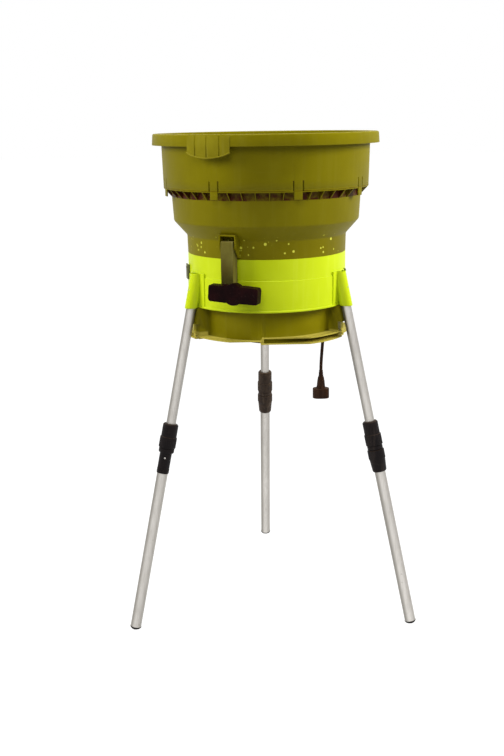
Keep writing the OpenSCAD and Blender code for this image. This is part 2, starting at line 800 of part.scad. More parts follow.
module discharge_skirt() {
    skirt_in = skirt_r - skirt_wall;
    high_z = stand_h - lip_high;
    low_z = stand_h - skirt_low;
    band_z = stand_h - band_low;
    color(olive) {
        band(skirt_in, skirt_r, low_z, ledge_z);
        difference() {
            band(skirt_in, ring_in - fit, stand_h, ledge_z);
            around(ledge_screws) disc_at(annulus_mid, small_screw_r, stand_h - 1, ledge_z + 1);
        }
        for (a = leg_az) {
            lip(low_z, low_z + lip_t, a, low_sweep);
            lip(high_z - lip_t, high_z, a + low_sweep, 120 - low_sweep);
            lip(band_z, band_z + lip_t, a + low_sweep, 120 - low_sweep);
            band_part(skirt_in + set_back, skirt_r - set_back, band_z, low_z + 1, a + low_sweep,
                120 - low_sweep);
            rotate([0, 0, a + low_sweep]) lip_hook(band_z, high_z);
            rotate([0, 0, a]) leg_web(band_z + 2);
        }
    }
}

// The V-shaped stop between the plain lip and the bayonet channel
module lip_hook(z_low, z_high) {
    rotate([90, 0, 90]) translate([0, 0, skirt_r - 2]) linear_extrude(lip_flat_r - skirt_r + 2.5)
        polygon([
            [-5, z_high - 8], [-5, z_high - 11], [-0.8, z_low - 0.5], [4, z_low - 0.5],
            [4, z_high + 0.5], [1.5, z_high + 0.5]
        ]);
}

// A hollow web from the skirt to the leg, open below and stepped back where the collars slide past
module leg_web(z_low) {
    top = stand_h - fit;
    step = collar_clear_z;
    tube_side = upper_tube_r / cos(leg_tilt) + web_clear;
    edge_low = min(leg_r_at(z_low) - nut_r - 3, lip_lobe_r - 2);
    edge_mid = leg_r_at(step) - nut_r - 3;
    edge_step = leg_r_at(step) - tube_side;
    edge_high = leg_r_at(top) - tube_side;
    difference() {
        rotate([90, 0, 0]) linear_extrude(web_gap + 2 * web_t, center = true) polygon([
            [skirt_r - 1, z_low], [edge_low, z_low], [edge_mid, step], [edge_step, step], [edge_high, top],
            [skirt_r - 1, top]
        ]);
        rotate([90, 0, 0]) linear_extrude(web_gap, center = true) polygon([
            [skirt_r + 0.5, z_low - 1], [edge_low - web_t, z_low - 1], [edge_low - web_t, z_low],
            [edge_mid - web_t, step + web_t], [edge_step - web_t, step + web_t],
            [edge_high - web_t, top - web_t], [skirt_r + 0.5, top - web_t]
        ]);
    }
}

module skirt_screws() {
    color(steel) around(ledge_screws) {
        disc_at(annulus_mid, small_screw_r - slip, stand_h - 0.5, ledge_z + 1.4);
        disc_at(annulus_mid, small_head_r, stand_h - small_head_h, stand_h);
    }
}

module carrier_screws() {
    color(steel) around(ledge_screws) {
        disc_at(annulus_mid, small_screw_r - slip, carrier_z - 1.4, carrier_top + 0.5);
        disc_at(annulus_mid, small_head_r, carrier_top, carrier_top + small_head_h);
    }
}

// The motor can hangs in the middle of the ring on three arms
module motor_carrier() {
    color(black) difference() {
        union() {
            band(carrier_ring_r, ring_in - fit, carrier_z, carrier_top);
            disc(can_r, can_floor, carrier_top);
            around(leg_az)
                spoke(can_r - 2, carrier_ring_r + 2, carrier_arm_w, carrier_top - carrier_arm_h, carrier_top);
            disc(bearing_r + boss_wall, carrier_top - 1, boss_top);
        }
        disc(can_in, can_floor - 1, carrier_top - carrier_t);
        disc(bearing_r, carrier_top - carrier_t - 1, upper_bearing_z + bearing_h);
        disc(shaft_r + boss_wall, carrier_top - carrier_t, boss_top + 1);
        around(ledge_screws) disc_at(annulus_mid, small_screw_r, carrier_z - 1, carrier_top + 1);
        around(cover_screw_az) translate([0, 0, cover_screw_z]) rod_x(small_screw_r, can_in - 1, can_r + 1);
    }
}

module motor_cover() {
    color(black) difference() {
        union() {
            turned([
                [0, cover_floor], [cover_r - 10, cover_floor], [cover_r - 3, cover_floor + 2],
                [cover_r, cover_floor + 6], [cover_r, can_floor + cover_lap],
                [cover_r - cover_wall, can_floor + cover_lap], [cover_r - cover_wall, can_floor],
                [cover_r - 7, cover_floor + 6], [cover_r - 11, lower_bearing_z], [0, lower_bearing_z]
            ]);
            band(bearing_r, bearing_r + boss_wall, cover_floor + 1, lower_bearing_z + bearing_h);
        }
        around(cover_screw_az) translate([0, 0, cover_screw_z]) rod_x(small_screw_r, can_in, cover_r + 1);
        around(vent_az) spoke(vent_in, vent_out, vent_w, cover_floor - 1, cover_floor + cover_wall + 1);
    }
}

module cover_screws() {
    color(steel) around(cover_screw_az) translate([0, 0, cover_screw_z]) {
        rod_x(small_screw_r - slip, can_in + 0.5, cover_r + 0.5);
        rod_x(small_head_r, cover_r, cover_r + small_head_h);
    }
}

module stator() {
    color(steel) {
        rotate([0, 0, 90]) band(pole_r, yoke_r, stack_z, stack_top);
        for (side = [0, 180])
            band_part(stator_in, pole_r + 1, stack_z, stack_top, side - pole_half, 2 * pole_half);
    }
}

// One copper loop round each pole
module field_coils() {
    color(copper) for (side = [0, 180]) difference() {
        band_part(stator_in + 3, pole_r - fit, stack_z - coil_end, stack_top + coil_end, side - coil_half,
            2 * coil_half);
        band_part(stator_in - 5, pole_r + 5, stack_z - 0.1, stack_top + 0.1, side - pole_half - 0.5,
            2 * pole_half + 1);
    }
}

module bearing_ring(z_low) {
    color(bright) difference() {
        disc(bearing_r, z_low, z_low + bearing_h);
        disc(shaft_r + slip, z_low - 1, z_low + bearing_h + 1);
        band(shaft_r + 4, bearing_r - 3, z_low - 1, z_low + 1);
        band(shaft_r + 4, bearing_r - 3, z_low + bearing_h - 1, z_low + bearing_h + 1);
    }
}

module upper_bearing() {
    bearing_ring(upper_bearing_z);
}

module lower_bearing() {
    bearing_ring(lower_bearing_z);
}

module brush_holders() {
    wide = brush_w + 2 * boss_wall;
    half = brush_h / 2 + 2;
    reach = sqrt(pow(can_in, 2) - pow(wide / 2, 2)) - 0.1;
    color([0.75, 0.62, 0.3]) around(brush_az) difference() {
        spoke(commutator_r + 5, reach, wide, brush_z - half, brush_z + half);
        spoke(commutator_r + 4, can_in - 8, brush_w + 4 * slip, brush_z - brush_h / 2 - 2 * slip,
            brush_z + brush_h / 2 + 2 * slip);
    }
}

module carbon_brushes() {
    color([0.15, 0.15, 0.16]) around(brush_az)
        spoke(commutator_r + fit, can_in - 20, brush_w, brush_z - brush_h / 2, brush_z + brush_h / 2);
}

module shaft_seal() {
    color(black) band(shaft_r + slip, shaft_r + boss_wall, upper_bearing_z + bearing_h, boss_top + 1);
}

module motor_shaft() {
    color(bright) {
        disc(shaft_r, lower_bearing_z + 0.5, nut_seat);
        disc(stud_r, nut_seat - 1, nut_seat + nut_h + 3);
    }
}

module armature() {
    color(steel) band(shaft_r, armature_r, stack_z, stack_top);
}

module armature_windings() {
    color(copper) {
        band(shaft_r, armature_r - 4, winding_low, stack_z);
        band(shaft_r, armature_r - 4, stack_top, fan_z - 1);
    }
}

module commutator() {
    color(copper) band(shaft_r, commutator_r, commutator_z, winding_low);
}

module cooling_fan() {
    color(black) {
        band(shaft_r, shaft_r + 6, fan_z - 1, fan_z + fan_h);
        band(shaft_r, fan_r, fan_z, fan_z + 1.5);
        around([for (i = [0:fan_blades - 1]) i * 360 / fan_blades])
            spoke(shaft_r + 5, fan_r - 1, 2, fan_z + 1, fan_z + fan_h);
    }
}

// A thick disc on a hub, with a radial hole for each cutting line
module line_head() {
    mid = head_z + head_t / 2;
    color(black) difference() {
        turned([
            [shaft_r, boss_top + 2.5], [shaft_r + 9, boss_top + 2.5], [shaft_r + 12, head_z],
            [head_r - 6, head_z], [head_r, head_z + 3], [head_r, head_z + head_t - 3],
            [head_r - 3, head_z + head_t], [shaft_r, head_z + head_t]
        ]);
        around([0, 180]) translate([0, 0, mid]) rod_x(line_d / 2, line_root, head_r + 1);
    }
}

module cutting_lines() {
    color([0.85, 0.3, 0.1]) around([0, 180]) translate([0, 0, head_z + head_t / 2])
        rod_x(line_d / 2, line_root, cut_r);
}

module head_nut() {
    color(bright) difference() {
        union() {
            translate([0, 0, nut_seat]) cylinder(r = nut_corner_r, h = nut_h, $fn = 6);
            disc(nut_corner_r + 2.5, nut_seat, nut_seat + 1.5);
        }
        disc(stud_r, nut_seat - 1, nut_seat + nut_h + 1);
    }
}

// The bezel stands out of the ring, and the shallow switch body sits behind it
module switch_box() {
    color(black) rotate([0, 0, switch_az]) difference() {
        union() {
            spoke(ring_r + 2.5, ring_r + switch_out, switch_w, switch_low, switch_high);
            spoke(liner_r + fit, ring_r + 3, switch_w - 6.4, switch_low + 3.2, switch_high - 3.2);
        }
        spoke(rocker_x - 4, ring_r + switch_out + 1, rocker_w, switch_low + 5, switch_high - 5);
        translate([rocker_x, 0, switch_z]) rotate([90, 0, 0])
            cylinder(r = rocker_pin_r, h = rocker_w + 2, center = true);
    }
}

module switch_rocker() {
    color(black) rotate([0, 0, switch_az]) translate([rocker_x, 0, switch_z]) rotate([90, 0, 0]) {
        linear_extrude(rocker_w - 2 * fit, center = true) polygon([
            [-2.5, -4], [4.6, -switch_h / 2 + 6.2], [4.2, 0], [6.2, switch_h / 2 - 6.6], [-2.5, 4]
        ]);
        cylinder(r = rocker_pin_r - slip, h = rocker_w + 1.6, center = true);
    }
}

module reset_breaker() {
    color(black) rotate([0, 0, reset_az]) difference() {
        union() {
            spoke(liner_r + fit, ring_in - 0.2, 16, reset_z - 12, reset_z + 12);
            translate([0, 0, reset_z]) rod_x(reset_r + 1.4, ring_in - 1, ring_r + 2);
        }
        translate([0, 0, reset_z]) rod_x(reset_r + fit, ring_in - 2.5, ring_r + 5);
    }
}

module reset_button() {
    color([0.25, 0.22, 0.05]) rotate([0, 0, reset_az]) translate([0, 0, reset_z])
        rod_x(reset_r, ring_in - 2.2 + reset_travel, ring_r + 2 + reset_travel + 1);
}

module interlock_switch() {
    color(black) rotate([0, 0, interlock_az]) difference() {
        spoke(liner_r + fit, ring_in - 0.4, 20, plunger_z - 22, plunger_z - 1);
        disc_at(plunger_x, plunger_r + slip, plunger_z - plunger_len - 2, plunger_z);
    }
}

module interlock_plunger() {
    color([0.8, 0.2, 0.1]) rotate([0, 0, interlock_az])
        disc_at(plunger_x, plunger_r, plunger_z - plunger_len, plunger_z);
}

module cord_gland() {
    arm_low = carrier_top - carrier_arm_h;
    tip = arm_low - gland_h;
    grip = cord_d / 2;
    color(black) translate([cord_start[0], cord_start[1], 0]) turned([
        [0, tip], [grip + 1, tip], [grip + 3, arm_low - 7], [grip + 5.3, arm_low - 6],
        [grip + 5.3, arm_low], [0, arm_low]
    ]);
}

// One closed tube swept along the route
module cord() {
    rings = [for (i = [0:cord_ring_step:len(cord_route) - 1]) cord_route[i]];
    last = len(rings) - 1;
    points = [for (i = [0:last]) let (way = unit(rings[min(i + 1, last)] - rings[max(i - 1, 0)]))
        let (heading = i == 0 || i == last ? [0, 0, -1] : way)
        let (u = cord_d / 2 * unit(cross(heading, [0, 1, 0])), v = cross(heading, u))
        for (j = [0:cord_sides - 1]) let (a = j * 360 / cord_sides) rings[i] + cos(a) * u + sin(a) * v];
    sides = [for (i = [0:last - 1], j = [0:cord_sides - 1]) let (k = (j + 1) % cord_sides)
        [i * cord_sides + j, i * cord_sides + k, (i + 1) * cord_sides + k, (i + 1) * cord_sides + j]];
    start = [for (j = [cord_sides - 1:-1:0]) j];
    end = [for (j = [0:cord_sides - 1]) last * cord_sides + j];
    color([0.16, 0.11, 0.08]) polyhedron(points, concat([start], sides, [end]));
}

module plug() {
    color([0.16, 0.11, 0.08]) translate([cord_end[0], cord_end[1], 0]) difference() {
        union() {
            turned([
                [0, cord_end[2]], [4.6, cord_end[2]], [5, cord_end[2] - 3], [4.2, cord_end[2] - 4],
                [5.4, cord_end[2] - 5], [5.8, cord_end[2] - 8], [4.8, cord_end[2] - 9], [6, cord_end[2] - 10],
                [6.2, relief_z], [10.6, shroud_top + 5], [11.5, shroud_top + 1], [11.5, shroud_top - 2],
                [0, shroud_top - 2]
            ]);
            translate([0, 0, shroud_low]) linear_extrude(shroud_h) shroud_outline(0);
        }
        translate([0, 0, shroud_low - 1]) linear_extrude(shroud_h - 2) shroud_outline(shroud_wall);
        blade_pair(shroud_top - 5, shroud_top + 5);
    }
}

module shroud_outline(inset) {
    half = shroud_d / 2 - inset;
    reach = (shroud_w - shroud_d) / 2;
    square([2 * reach, 2 * half], center = true);
    for (side = [-1, 1]) translate([side * reach, 0]) circle(r = half);
}

module blade_pair(z_low, z_high) {
    for (side = [-1, 1]) translate([side * blade_pitch / 2 - blade_t / 2, -blade_w / 2, z_low])
        cube([blade_t, blade_w, z_high - z_low]);
}

// The blades are sunk in the shroud, and their inner ends are held in the plug
module plug_blades() {
    color(bright) translate([cord_end[0], cord_end[1], 0]) blade_pair(shroud_low + 1, shroud_top + 4);
}

module upper_tube(k) {
    color(bright) at_leg(k) difference() {
        disc(upper_tube_r, collar_s - tube_overlap, tube_top_s);
        disc(upper_tube_r - tube_wall, collar_s - tube_overlap - 1, tube_top_s + 1);
        translate([0, 0, socket_screw_s]) rod_x(small_screw_r + slip, 0, upper_tube_r + 2);
    }
}

module lower_tube(k) {
    color(bright) at_leg(k) difference() {
        disc(lower_tube_r, foot_sole, collar_s + shoulder_s);
        disc(lower_tube_r - tube_wall, foot_sole - 1, collar_s + shoulder_s + 1);
    }
}

module sleeve(k) {
    color(black) at_leg(k) translate([0, 0, collar_s + sleeve_raise[k]]) difference() {
        union() {
            disc(sleeve_r, sleeve_up, collar_len - 8);
            for (s = thread_s) disc(thread_r, s, s + 2);
            turned([[0, mid_ring_s], [mid_ring_r - 1, mid_ring_s], [mid_ring_r, mid_ring_s + 2],
                [mid_ring_r, mid_ring_s + mid_ring_h - 2], [mid_ring_r - 1, mid_ring_s + mid_ring_h],
                [0, mid_ring_s + mid_ring_h]]);
        }
        disc(upper_bore, -1, collar_len);
        disc(sleeve_in, -1, shoulder_s);
        rotate([0, 0, 60]) translate([0, 0, mid_ring_s - 12]) rod_x(2.4, 0, sleeve_r + 2);
    }
}

module upper_nut(k) {
    low = mid_ring_s + mid_ring_h + fit;
    step = low + 25;
    color(black) at_leg(k) translate([0, 0, collar_s + sleeve_raise[k]]) turned([
        [nut_bore, low], [nut_r - 1, low], [nut_r, low + 1.5], [nut_r, step - 2], [nut_r - 1, step],
        [nut_end_r, step + 0.5], [nut_end_r, collar_len - 2.5], [nut_end_r - 2.5, collar_len],
        [upper_bore, collar_len], [upper_bore, collar_len - nut_end_t], [nut_bore, collar_len - nut_end_t - 1]
    ]);
}

module lower_nut(k) {
    top = mid_ring_s - fit;
    step = top - 21;
    bore = lower_tube_r + fit;
    color(black) at_leg(k) translate([0, 0, collar_s + sleeve_raise[k]]) turned([
        [nut_bore, top], [nut_r - 1, top], [nut_r, top - 1.5], [nut_r, step + 1], [nut_r - 1, step],
        [nut_tip_r + 0.6, 1.5], [nut_tip_r - 0.8, 0], [bore, 0], [bore, sleeve_up - fit],
        [nut_bore, sleeve_up - fit]
    ]);
}

// A rounded sole under the tube's end, cut flat on the floor, with a plug inside the tube
module rubber_foot(k) {
    plug_top = foot_sole + foot_plug_h;
    color(black) difference() {
        at_leg(k) turned([
            [0, -3], [foot_r - 5, -1.5], [foot_r - 1.5, foot_sole - 3.5], [foot_r, foot_sole - 1],
            [foot_r, foot_sole], [foot_plug_r, foot_sole], [foot_plug_r, plug_top - 2],
            [foot_plug_r - 2, plug_top], [0, plug_top]
        ]);
        translate([0, 0, -100]) cylinder(r = 2 * foot_circle, h = 100);
    }
}

upper_hopper();
lower_hopper();
latch_pin();
latch_arm();
clamp_insert();
clamp_pad();
clamp_knob();
clamp_screw();
base_ring();
chamber_liner();
discharge_skirt();
skirt_screws();
socket_screws();
motor_carrier();
carrier_screws();
motor_cover();
cover_screws();
stator();
field_coils();
upper_bearing();
lower_bearing();
brush_holders();
carbon_brushes();
shaft_seal();
motor_shaft();
armature();
armature_windings();
commutator();
cooling_fan();
line_head();
cutting_lines();
head_nut();
switch_box();
switch_rocker();
reset_breaker();
reset_button();
interlock_switch();
interlock_plunger();
cord_gland();
cord();
plug();
plug_blades();
for (k = [0:2]) {
    upper_tube(k);
    sleeve(k);
    upper_nut(k);
    lower_tube(k);
    rubber_foot(k);
}
for (k = lower_nut_legs) {
    lower_nut(k);
}
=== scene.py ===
import json
import math

import bmesh
import bpy
from mathutils import Matrix, Vector, noise


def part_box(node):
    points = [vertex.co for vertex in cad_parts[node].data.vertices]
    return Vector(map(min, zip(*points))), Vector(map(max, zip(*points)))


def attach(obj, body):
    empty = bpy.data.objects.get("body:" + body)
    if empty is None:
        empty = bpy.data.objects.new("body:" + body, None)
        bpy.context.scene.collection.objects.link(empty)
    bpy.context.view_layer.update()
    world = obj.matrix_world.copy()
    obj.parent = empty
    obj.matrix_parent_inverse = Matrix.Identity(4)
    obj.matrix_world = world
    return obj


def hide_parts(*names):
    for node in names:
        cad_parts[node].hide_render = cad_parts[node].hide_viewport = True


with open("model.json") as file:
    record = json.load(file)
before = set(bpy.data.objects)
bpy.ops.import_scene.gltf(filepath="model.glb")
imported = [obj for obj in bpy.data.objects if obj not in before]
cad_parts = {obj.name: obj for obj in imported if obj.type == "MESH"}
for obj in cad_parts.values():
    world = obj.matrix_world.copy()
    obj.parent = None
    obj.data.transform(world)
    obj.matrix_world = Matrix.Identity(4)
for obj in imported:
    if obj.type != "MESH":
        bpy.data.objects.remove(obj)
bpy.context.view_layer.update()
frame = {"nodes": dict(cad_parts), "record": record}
nodes = frame["nodes"]
scene = bpy.context.scene
scene.view_settings.view_transform = "Standard"
mm = 0.001
print("frame loaded with", len(nodes), "nodes")


def lowOf(node):
    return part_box(node)[0].z / mm


def highOf(node):
    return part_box(node)[1].z / mm


def around(azimuth):
    return Matrix.Rotation(math.radians(azimuth), 4, "Z")


# Camera, as the photograph was taken
cameraLook = {
    "place": (-0.0766, -2.3985, 1.16),
    "heading": 89.094,  # degrees from +X
    "dip": 14.183,
    "roll": -0.852,
    "lens": 49.023,
}


def makeCamera(look):
    heading = math.radians(look["heading"])
    dip = math.radians(look["dip"])
    roll = math.radians(look["roll"])
    flat = Vector((math.cos(heading), math.sin(heading), 0))
    forward = flat * math.cos(dip) - Vector((0, 0, math.sin(dip)))
    side = forward.cross(Vector((0, 0, 1))).normalized()
    up = side.cross(forward)
    right = side * math.cos(roll) + up * math.sin(roll)
    top = up * math.cos(roll) - side * math.sin(roll)
    turn = Matrix((right, top, -forward)).transposed().to_4x4()
    camera = bpy.data.objects.new("photoCamera", bpy.data.cameras.new("photoCamera"))
    camera.data.lens = look["lens"]
    camera.data.sensor_width = 36
    camera.data.clip_start = 0.05
    camera.data.clip_end = 60
    camera.matrix_world = Matrix.Translation(look["place"]) @ turn
    scene.collection.objects.link(camera)
    scene.camera = camera


makeCamera(cameraLook)
print("camera made")


# Node helpers
def addNode(tree, kind, feeds=None, **settings):
    node = tree.nodes.new(kind)
    for name, value in settings.items():
        setattr(node, name, value)
    for socket, value in (feeds or {}).items():
        if isinstance(value, bpy.types.NodeSocket):
            tree.links.new(value, node.inputs[socket])
        else:
            node.inputs[socket].default_value = value
    return node


def rgb(red, green, blue):
    shares = [level / 255 for level in (red, green, blue)]
    return tuple(s / 12.92 if s <= 0.04045 else ((s + 0.055) / 1.055) ** 2.4 for s in shares) + (1,)


def startMaterial(name):
    material = bpy.data.materials.new(name)
    material.use_nodes = True
    tree = material.node_tree
    tree.nodes.clear()
    shader = tree.nodes.new("ShaderNodeBsdfPrincipled")
    output = tree.nodes.new("ShaderNodeOutputMaterial")
    tree.links.new(shader.outputs[0], output.inputs[0])
    return material, tree, shader, tree.nodes.new("ShaderNodeTexCoord")


def cloudOf(tree, place, scale, detail=3, rough=0.55):
    feeds = {"Vector": place, "Scale": scale, "Detail": detail, "Roughness": rough}
    return addNode(tree, "ShaderNodeTexNoise", feeds).outputs[0]


def stretched(tree, place, factors, turn=(0, 0, 0)):
    feeds = {"Vector": place, "Rotation": turn, "Scale": factors}
    return addNode(tree, "ShaderNodeMapping", feeds).outputs[0]


def ramp(tree, value, low, high, top=1.0):
    feeds = {"Value": value, "From Min": low, "From Max": high, "To Min": 0.0, "To Max": top}
    return addNode(tree, "ShaderNodeMapRange", feeds).outputs[0]


def combined(tree, first, second, way="MULTIPLY"):
    return addNode(tree, "ShaderNodeMath", {0: first, 1: second}, operation=way).outputs[0]


def mixed(tree, share, first, second):
    return addNode(tree, "ShaderNodeMix", {0: share, 6: first, 7: second}, data_type="RGBA").outputs[2]


def partOf(tree, vector, axis):
    return addNode(tree, "ShaderNodeSeparateXYZ", {0: vector}).outputs[axis]


def levelMask(tree, place, low, high, soft):
    height = partOf(tree, place, 2)
    rising = ramp(tree, height, (low - soft) * mm, low * mm)
    falling = ramp(tree, height, (high + soft) * mm, high * mm)
    return combined(tree, rising, falling)


def bumpFrom(tree, height, strength, depth, below=None):
    feeds = {"Height": height, "Strength": strength, "Distance": depth * mm}
    if below:
        feeds["Normal"] = below
    return addNode(tree, "ShaderNodeBump", feeds).outputs[0]


# 1 inside a cone through two (radius, height) points, and 0 outside it
def underSlope(tree, place, points):
    (lowR, lowZ), (highR, highZ) = points
    share = (highR - lowR) / (highZ - lowZ)
    flat = addNode(tree, "ShaderNodeVectorMath", {0: place, 1: (1, 1, 0)}, operation="MULTIPLY").outputs[0]
    radius = addNode(tree, "ShaderNodeVectorMath", {0: flat}, operation="LENGTH").outputs[1]
    lean = combined(tree, combined(tree, partOf(tree, place, 2), lowZ * mm, "SUBTRACT"), share)
    out = combined(tree, combined(tree, radius, lowR * mm, "SUBTRACT"), lean, "SUBTRACT")
    return ramp(tree, out, -0.6 * mm, -1.8 * mm)


# Specks of dried leaf juice on the front: one in each cell of a fine pattern, small or none in most
def speckMask(tree, place, look):
    cells = addNode(tree, "ShaderNodeTexVoronoi", {"Vector": place, "Scale": look["speckScale"]})
    chance = partOf(tree, cells.outputs["Color"], 0)
    size = ramp(tree, chance, 0.5, 1.0, look["speckSize"])
    edge = combined(tree, size, cells.outputs["Distance"], "SUBTRACT")
    spot = ramp(tree, edge, 0.0, 0.05)
    patches = ramp(tree, cloudOf(tree, place, look["speckPatches"], 2), 0.36, 0.4)
    front = ramp(tree, partOf(tree, place, 1), -0.05, -0.12)
    low, high = look["speckBand"]
    band = combined(tree, levelMask(tree, place, low, high, 6), combined(tree, front, patches))
    return combined(tree, spot, band)


# A moulded plastic with cloudy tone, upright rub marks, dust on upward faces and a fine grain; optional bands add
# grime with painted shade, painted shade behind slits, a painted highlight on lips, and specks
def plasticMaterial(name, look):
    material, tree, shader, where = startMaterial(name)
    place = where.outputs["Object"]
    clouds = cloudOf(tree, place, look["cloudScale"], 4)
    colour = mixed(tree, ramp(tree, clouds, 0.35, 0.65), look["shade"], look["tone"])
    rubs = cloudOf(tree, stretched(tree, place, (1, 1, 0.06)), 70, 5, 0.65)
    colour = mixed(tree, ramp(tree, rubs, 0.52, 0.78, look["rubs"]), colour, look["pale"])
    scuffs = cloudOf(tree, stretched(tree, place, (1, 1, 14)), 9, 6, 0.7)
    colour = mixed(tree, ramp(tree, scuffs, 0.6, 0.75, look["scuffs"]), colour, look["pale"])
    facing = ramp(tree, partOf(tree, where.outputs["Normal"], 2), 0.6, 0.98)
    patchy = ramp(tree, cloudOf(tree, place, 26, 5, 0.7), 0.3, 0.6, look["dustShare"])
    colour = mixed(tree, combined(tree, facing, patchy), colour, look["dust"])
    # Grime and painted shade: a darker band in the recess under the shelf and between the ribs, kept off the sloping
    # rib edges
    if "grimeAndShadeBand" in look:
        low, high = look["grimeAndShadeBand"]
        grimeAndShadeCloud = ramp(tree, cloudOf(tree, place, 40, 4, 0.7), 0.25, 0.7, look["grimeAndShadeShare"])
        band = levelMask(tree, place, low, high, look["grimeAndShadeSoft"])
        if "grimeAndShadeSlope" in look:
            band = combined(tree, band, underSlope(tree, place, look["grimeAndShadeSlope"]))
        colour = mixed(tree, combined(tree, grimeAndShadeCloud, band, "MULTIPLY"), colour, look["grimeAndShade"])
    # Painted shade: a near black band on the wall behind the slits, where only shade is seen
    if "slitShadeBand" in look:
        low, high = look["slitShadeBand"]
        behind = underSlope(tree, place, ((look["slitShadeR"], low), (look["slitShadeR"], high)))
        colour = mixed(tree, combined(tree, levelMask(tree, place, low, high, 1), behind), colour, look["slitShadeTone"])
    # Painted highlight: a paler band on lips that reach out past the skirt wall, where light from above catches them
    if "outerR" in look:
        inside = underSlope(tree, place, ((look["outerR"], 600), (look["outerR"], 800)))
        low, high = look["lipHighlightBand"]
        outside = combined(tree, combined(tree, 1.0, inside, "SUBTRACT"), look["lipHighlightShare"])
        outside = combined(tree, outside, levelMask(tree, place, low, high, 4))
        colour = mixed(tree, outside, colour, look["lipHighlightTone"])
    if "speckBand" in look:
        colour = mixed(tree, speckMask(tree, place, look), colour, look["speck"])
    tree.links.new(colour, shader.inputs["Base Color"])
    gloss = ramp(tree, clouds, 0.3, 0.7, look["roughSpread"])
    roughness = combined(tree, gloss, look["rough"], "ADD")
    tree.links.new(roughness, shader.inputs["Roughness"])
    shader.inputs["Specular IOR Level"].default_value = look["shine"]
    grain = cloudOf(tree, place, look["grainScale"], 2, 0.6)
    normal = bumpFrom(tree, grain, look["grain"], 0.15)
    normal = bumpFrom(tree, scuffs, look["grain"] * 0.6, 0.3, normal)
    tree.links.new(normal, shader.inputs["Normal"])
    return material


hopperPlastic = {
    "tone": rgb(124, 115, 4), "shade": rgb(110, 101, 0), "pale": rgb(186, 178, 92), "dust": rgb(160, 150, 74),
    "cloudScale": 5, "rubs": 0.05, "scuffs": 0.05, "dustShare": 0.3,
    # The grime band here is partly dirt and partly painted shade under the shelf; the dark band below is painted
    # shade behind the slits
    "grimeAndShade": rgb(62, 22, 4), "grimeAndShadeBand": (988, 1008), "grimeAndShadeSoft": 5, "grimeAndShadeShare": 1.6,
    "slitShadeBand": (1011.5, 1032), "slitShadeTone": rgb(30, 22, 2), "slitShadeR": 232.3,
    "grimeAndShadeSlope": ((216.7, 989.5), (232.9, 1007.5)),
    "speck": rgb(214, 214, 74), "speckScale": 115, "speckSize": 0.4, "speckPatches": 16, "speckBand": (872, 906),
    "rough": 0.46, "roughSpread": 0.14, "shine": 0.1, "grain": 0.16, "grainScale": 900,
}
latchPlastic = {
    "tone": rgb(112, 106, 44), "shade": rgb(94, 84, 28), "pale": rgb(150, 146, 92), "dust": rgb(150, 140, 84),
    "cloudScale": 22, "rubs": 0.45, "scuffs": 0.3, "dustShare": 0.5,
    "rough": 0.5, "roughSpread": 0.15, "shine": 0.14, "grain": 0.4, "grainScale": 1100,
}
limePlastic = {
    "tone": rgb(204, 222, 32), "shade": rgb(196, 214, 16), "pale": rgb(222, 234, 92), "dust": rgb(216, 222, 90),
    "cloudScale": 6, "rubs": 0.2, "scuffs": 0.12, "dustShare": 0.4,
    "grimeAndShade": rgb(132, 142, 0), "grimeAndShadeBand": (745, 747), "grimeAndShadeSoft": 2, "grimeAndShadeShare": 0.35,
    "rough": 0.36, "roughSpread": 0.14, "shine": 0.14, "grain": 0.16, "grainScale": 800,
}
blackPlastic = {
    "tone": rgb(34, 30, 28), "shade": rgb(24, 21, 20), "pale": rgb(96, 88, 80), "dust": rgb(104, 92, 66),
    "cloudScale": 12, "rubs": 0.1, "scuffs": 0.1, "dustShare": 0.4,
    "rough": 0.45, "roughSpread": 0.15, "shine": 0.14, "grain": 0.3, "grainScale": 900,
}
greyPlastic = {
    "tone": rgb(118, 116, 88), "shade": rgb(98, 98, 72), "pale": rgb(170, 168, 150), "dust": rgb(160, 156, 124),
    "cloudScale": 20, "rubs": 0.2, "scuffs": 0.1, "dustShare": 0.4,
    "rough": 0.45, "roughSpread": 0.1, "shine": 0.2, "grain": 0.3, "grainScale": 900,
}
brownPlastic = {
    "tone": rgb(52, 34, 20), "shade": rgb(38, 24, 14), "pale": rgb(116, 92, 62), "dust": rgb(128, 110, 60),
    "cloudScale": 12, "rubs": 0.15, "scuffs": 0.15, "dustShare": 0.6,
    "rough": 0.5, "roughSpread": 0.15, "shine": 0.12, "grain": 0.35, "grainScale": 800,
}
collarPlastic = {
    "tone": rgb(22, 17, 17), "shade": rgb(10, 6, 7), "pale": rgb(96, 84, 76), "dust": rgb(92, 74, 60),
    "cloudScale": 55, "rubs": 0.22, "scuffs": 0.12, "dustShare": 0.6,
    "rough": 0.42, "roughSpread": 0.25, "shine": 0.13, "grain": 0.4, "grainScale": 700,
}
backCollarPlastic = {
    "tone": rgb(62, 50, 40), "shade": rgb(38, 28, 22), "pale": rgb(128, 112, 96), "dust": rgb(112, 94, 76),
    "cloudScale": 70, "rubs": 0.4, "scuffs": 0.3, "dustShare": 0.8,
    "rough": 0.5, "roughSpread": 0.25, "shine": 0.16, "grain": 0.5, "grainScale": 600,
}
redPlastic = {
    "tone": rgb(170, 44, 28), "shade": rgb(150, 34, 22), "pale": rgb(206, 100, 80), "dust": rgb(150, 90, 60),
    "cloudScale": 20, "rubs": 0.1, "scuffs": 0.1, "dustShare": 0.3,
    "rough": 0.4, "roughSpread": 0.1, "shine": 0.4, "grain": 0.2, "grainScale": 900,
}
darkButton = {
    "tone": rgb(74, 66, 18), "shade": rgb(58, 50, 12), "pale": rgb(120, 112, 60), "dust": rgb(110, 100, 56),
    "cloudScale": 40, "rubs": 0.1, "scuffs": 0.1, "dustShare": 0.4,
    "rough": 0.45, "roughSpread": 0.1, "shine": 0.2, "grain": 0.3, "grainScale": 900,
}
